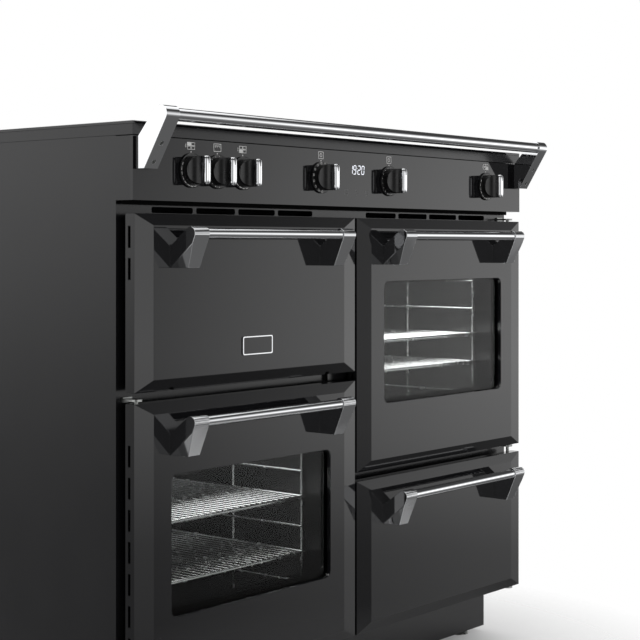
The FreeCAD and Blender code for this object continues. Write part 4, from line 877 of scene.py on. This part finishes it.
class COOKER_OT_rail_screws(bpy.types.Operator):
    """Puts socket screws into the wells of the rail brackets"""

    bl_idname = "cooker.rail_screws"
    bl_label = "Rail screws"

    def execute(self, context):
        # the brackets in millimetres: outer side and width, then the foot of the front face and the middle of the
        # head as (y, z) from the panel and the floor, and the head's radius
        outer = 496.5
        width = 26.0
        foot = np.array([-18.6, 837.994])
        head = np.array([-50.8, 912.0])
        radius = 11.7
        wells = (8.6, 34.0)
        depth = 3.0
        offset = head - foot
        base = math.atan2(offset[1], offset[0])
        tilt = base + math.asin(radius / np.hypot(*offset))
        along = np.array([math.cos(tilt), math.sin(tilt)])
        outward = np.array([-along[1], along[0]])
        if outward[0] > 0:
            outward = -outward
        screws = []
        shift = FRONT_Y / MM
        for side in (-1, 1):
            x = side * (outer - width / 2)
            for rise in wells:
                on_face = foot + along * rise / along[1]
                bottom = on_face - outward * depth
                profile = [(0, 0), (3.3, 0), (3.3, 2.0), (2.7, 2.6), (1.7, 2.6), (1.55, 2.4), (1.5, 1.0), (0, 1.0)]
                centre = np.array([x, bottom[0] + shift, bottom[1]]) * MM
                screws.append(lathe(np.array(profile) * MM, centre, (0, outward[0], outward[1]), 30, (3, 4, 5)))
        vertices, faces = joined(screws)
        new_piece("rail_screws", vertices, faces, finish("foot_steel"), "carcass")
        return {"FINISHED"}


class COOKER_OT_hob_marks(bpy.types.Operator):
    """Prints the rings of the cooking zones on the hob"""

    bl_idname = "cooker.hob_marks"
    bl_label = "Cooking zones"

    def execute(self, context):
        marks = context.scene.cooker_print
        zones = ((-355, 150, 72), (-355, 415, 90), (0, 290, 135), (355, 150, 90), (355, 415, 72))
        patches = []
        for x, y, radius in zones:
            patches.append(arc(x, y, radius + 8, 1.2, 0, 360, 96))
            for angle in range(0, 360, 90):
                t = math.radians(angle)
                patches.append(bar(x + (radius + 4) * math.cos(t), y + (radius + 4) * math.sin(t),
                                   x + (radius + 16) * math.cos(t), y + (radius + 16) * math.sin(t), 1.2))
            patches += [bar(x - 8, y, x + 8, y, 1.2), bar(x, y - 8, x, y + 8, 1.2)]
        vertices, faces = slab(patches)
        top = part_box("hob_glass")[1].z
        turned = np.stack([vertices[:, 0], vertices[:, 2] + FRONT_Y, top - vertices[:, 1]], axis=1)
        new_piece("hob_zone_rings", turned, faces, ink("hob_ink", "7d7f82"), "carcass")
        return {"FINISHED"}


class COOKER_OT_lamps(bpy.types.Operator):
    """Mounts the lamp covers in the ovens"""

    bl_idname = "cooker.lamps"
    bl_label = "Oven lamps"

    def execute(self, context):
        for oven in WINDOWED:
            low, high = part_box(oven + "_cavity")
            wall_x = middle(oven + "_cavity").x + 198 * MM
            centre = (wall_x, high.y - 60 * MM, high.z - 60 * MM)
            profile = np.array([(0, 0), (24, 0), (24, 3), (20, 4), (19, 8), (15, 12), (8, 14), (0, 14.6)]) * MM
            vertices, faces = lathe(profile, centre, (-1, 0, 0), 28)
            new_piece(oven + "_oven_lamp", vertices, faces, finish("lamp_glass"), "carcass",
                      smooth=True)
        return {"FINISHED"}


class COOKER_OT_stage(bpy.types.Operator):
    """Makes the floor, the light and the camera"""

    bl_idname = "cooker.stage"
    bl_label = "Floor, light and camera"

    def execute(self, context):
        stage = context.scene.cooker_stage
        self.floor(stage)
        self.world(stage)
        self.lamps()
        self.camera(stage)
        context.scene.view_settings.view_transform = "Standard"
        return {"FINISHED"}

    @staticmethod
    def floor(stage):
        """Round floor whose edge fades out: p(u, t) = u radius (cos t, sin t)."""
        steps = 96
        angle = np.linspace(0, TURN, steps, endpoint=False)
        rings = np.linspace(0.0, stage.floor, 9)[1:]
        points = rings[:, None, None] * np.stack([np.cos(angle), np.sin(angle), np.zeros(steps)], axis=1)
        vertices = np.concatenate([[[0.0, 0.0, 0.0]], points.reshape(-1, 3)])
        index = 1 + np.arange(len(rings) * steps).reshape(-1, steps)
        index = np.hstack([index, index[:, :1]])
        centre = np.stack([np.zeros(steps, int), index[0, :-1], index[0, 1:]], axis=1)
        mesh = bpy.data.meshes.new("floor")
        mesh.from_pydata(vertices.tolist(), [], centre.tolist() + grid_faces(index)[:, ::-1].tolist())
        material, tree, sockets, place = new_material("pale_floor", stage.pale, Roughness=0.7)
        distance = add_node(tree, "ShaderNodeVectorMath", links={0: place}, operation="LENGTH")
        add_node(tree, "ShaderNodeMapRange",
                 {"From Min": 0.4 * stage.floor, "From Max": 0.98 * stage.floor, "To Min": 1.0, "To Max": 0.0},
                 {"Value": distance.outputs["Value"]}, sockets["Alpha"])
        mesh.materials.append(material)
        floor = bpy.data.objects.new("floor", mesh)
        bpy.context.scene.collection.objects.link(floor)

    @staticmethod
    def world(stage):
        """A studio: light walls all round, soft boxes in front, a dark cove above them and a light ceiling.

        The levels by elevation are four ramps. One more ramp by azimuth says where each of them holds: its red is
        the share of the front boxes, its green that of the wall over a dark ground, its alpha that of the side
        box, and its blue dims them all.
        """
        world = bpy.data.worlds.new("studio")
        bpy.context.scene.world = world
        world.use_nodes = True
        tree = world.node_tree
        tree.nodes.clear()
        direction = add_node(tree, "ShaderNodeTexCoord").outputs["Generated"]
        parts = add_node(tree, "ShaderNodeSeparateXYZ", links={0: direction})
        height = add_node(tree, "ShaderNodeMapRange", {"From Min": -1.0}, {"Value": parts.outputs["Z"]})
        turn = add_node(tree, "ShaderNodeMath", links={0: parts.outputs["Y"], 1: parts.outputs["X"]},
                        operation="ARCTAN2")
        around = add_node(tree, "ShaderNodeMapRange", {"From Min": -math.pi, "From Max": math.pi},
                          {"Value": turn.outputs[0]})
        levels = []
        for stops in STUDIO_LEVELS:
            stops = [(0.5 + 0.5 * math.sin(math.radians(elevation)), (level / stage.light,) * 3 + (1.0,))
                     for elevation, level in stops + CEILING]
            levels.append(add_node(tree, "ShaderNodeValToRGB", links={"Fac": height.outputs[0]}, stops=stops))
        stops = [((azimuth + 180) / 360, share) for azimuth, share in STUDIO_SHARES]
        shares = add_node(tree, "ShaderNodeValToRGB", links={"Fac": around.outputs[0]}, stops=stops).outputs
        share = add_node(tree, "ShaderNodeSeparateColor", links={"Color": shares["Color"]}).outputs
        level = levels[0].outputs[0]
        for factor, other in zip((share[1], shares["Alpha"], share[0]), levels[1:]):
            level = add_node(tree, "ShaderNodeMix", links={0: factor, 6: level, 7: other.outputs[0]},
                             data_type="RGBA").outputs[2]
        level = add_node(tree, "ShaderNodeVectorMath", links={0: level, 1: share[2]}, operation="MULTIPLY")
        light = add_node(tree, "ShaderNodeBackground", {"Strength": stage.light}, {"Color": level.outputs[0]})
        add_node(tree, "ShaderNodeOutputWorld", links={"Surface": light.outputs[0]})

    @staticmethod
    def lamps():
        """Small soft lamps under the roofs of the ovens that have a window."""
        for oven, energy in (("main", 0.5), ("tall", 0.9)):
            low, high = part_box(oven + "_cavity")
            lamp = bpy.data.lights.new(oven + "_oven_light", "AREA")
            lamp.shape = "RECTANGLE"
            lamp.size = 0.3
            lamp.size_y = 0.2
            lamp.energy = energy
            light = bpy.data.objects.new(oven + "_oven_light", lamp)
            light.location = ((low.x + high.x) / 2, low.y + 0.16, high.z - 0.018)
            bpy.context.scene.collection.objects.link(light)

    @staticmethod
    def camera(stage):
        """A level camera with its frame shifted down, as the view of the whole front needs."""
        lens = bpy.data.cameras.new("camera")
        lens.lens = stage.lens
        lens.sensor_width = 36.0
        lens.shift_y = -73.9 / 640
        lens.clip_start = 0.05
        lens.clip_end = 100.0
        camera = bpy.data.objects.new("camera", lens)
        camera.location = (-1.9833, -1.8154, 0.7308)
        camera.rotation_euler = (math.radians(90.0), 0.0, math.radians(39.32 - 90.0))
        bpy.context.scene.collection.objects.link(camera)
        bpy.context.scene.camera = camera


OPERATORS = (COOKER_OT_materials, COOKER_OT_trim, COOKER_OT_duct, COOKER_OT_doors, COOKER_OT_knobs,
             COOKER_OT_fascia_marks, COOKER_OT_dial_marks, COOKER_OT_clock, COOKER_OT_rail_screws,
             COOKER_OT_hob_marks, COOKER_OT_lamps, COOKER_OT_stage)
GROUPS = {"cooker_print": CookerPrint, "cooker_edges": CookerEdges, "cooker_stage": CookerStage}


class COOKER_PT_panel(bpy.types.Panel):
    """Lists the steps and their sizes"""

    bl_idname = "COOKER_PT_panel"
    bl_label = "Range cooker"
    bl_space_type = "VIEW_3D"
    bl_region_type = "UI"
    bl_category = "Cooker"

    def draw(self, context):
        for name, group in GROUPS.items():
            values = getattr(context.scene, name)
            for key in group.__annotations__:
                self.layout.prop(values, key)
        for operator in OPERATORS:
            self.layout.operator(operator.bl_idname)


def register():
    for kind in (*GROUPS.values(), *OPERATORS, COOKER_PT_panel):
        bpy.utils.register_class(kind)
    for name, group in GROUPS.items():
        setattr(bpy.types.Scene, name, bpy.props.PointerProperty(type=group))


def unregister():
    for name in GROUPS:
        delattr(bpy.types.Scene, name)
    for kind in reversed((*GROUPS.values(), *OPERATORS, COOKER_PT_panel)):
        bpy.utils.unregister_class(kind)


def main():
    register()
    for operator in OPERATORS:
        getattr(bpy.ops.cooker, operator.bl_idname.split(".")[1])()
    bpy.context.view_layer.update()


if __name__ == "__main__":
    main()
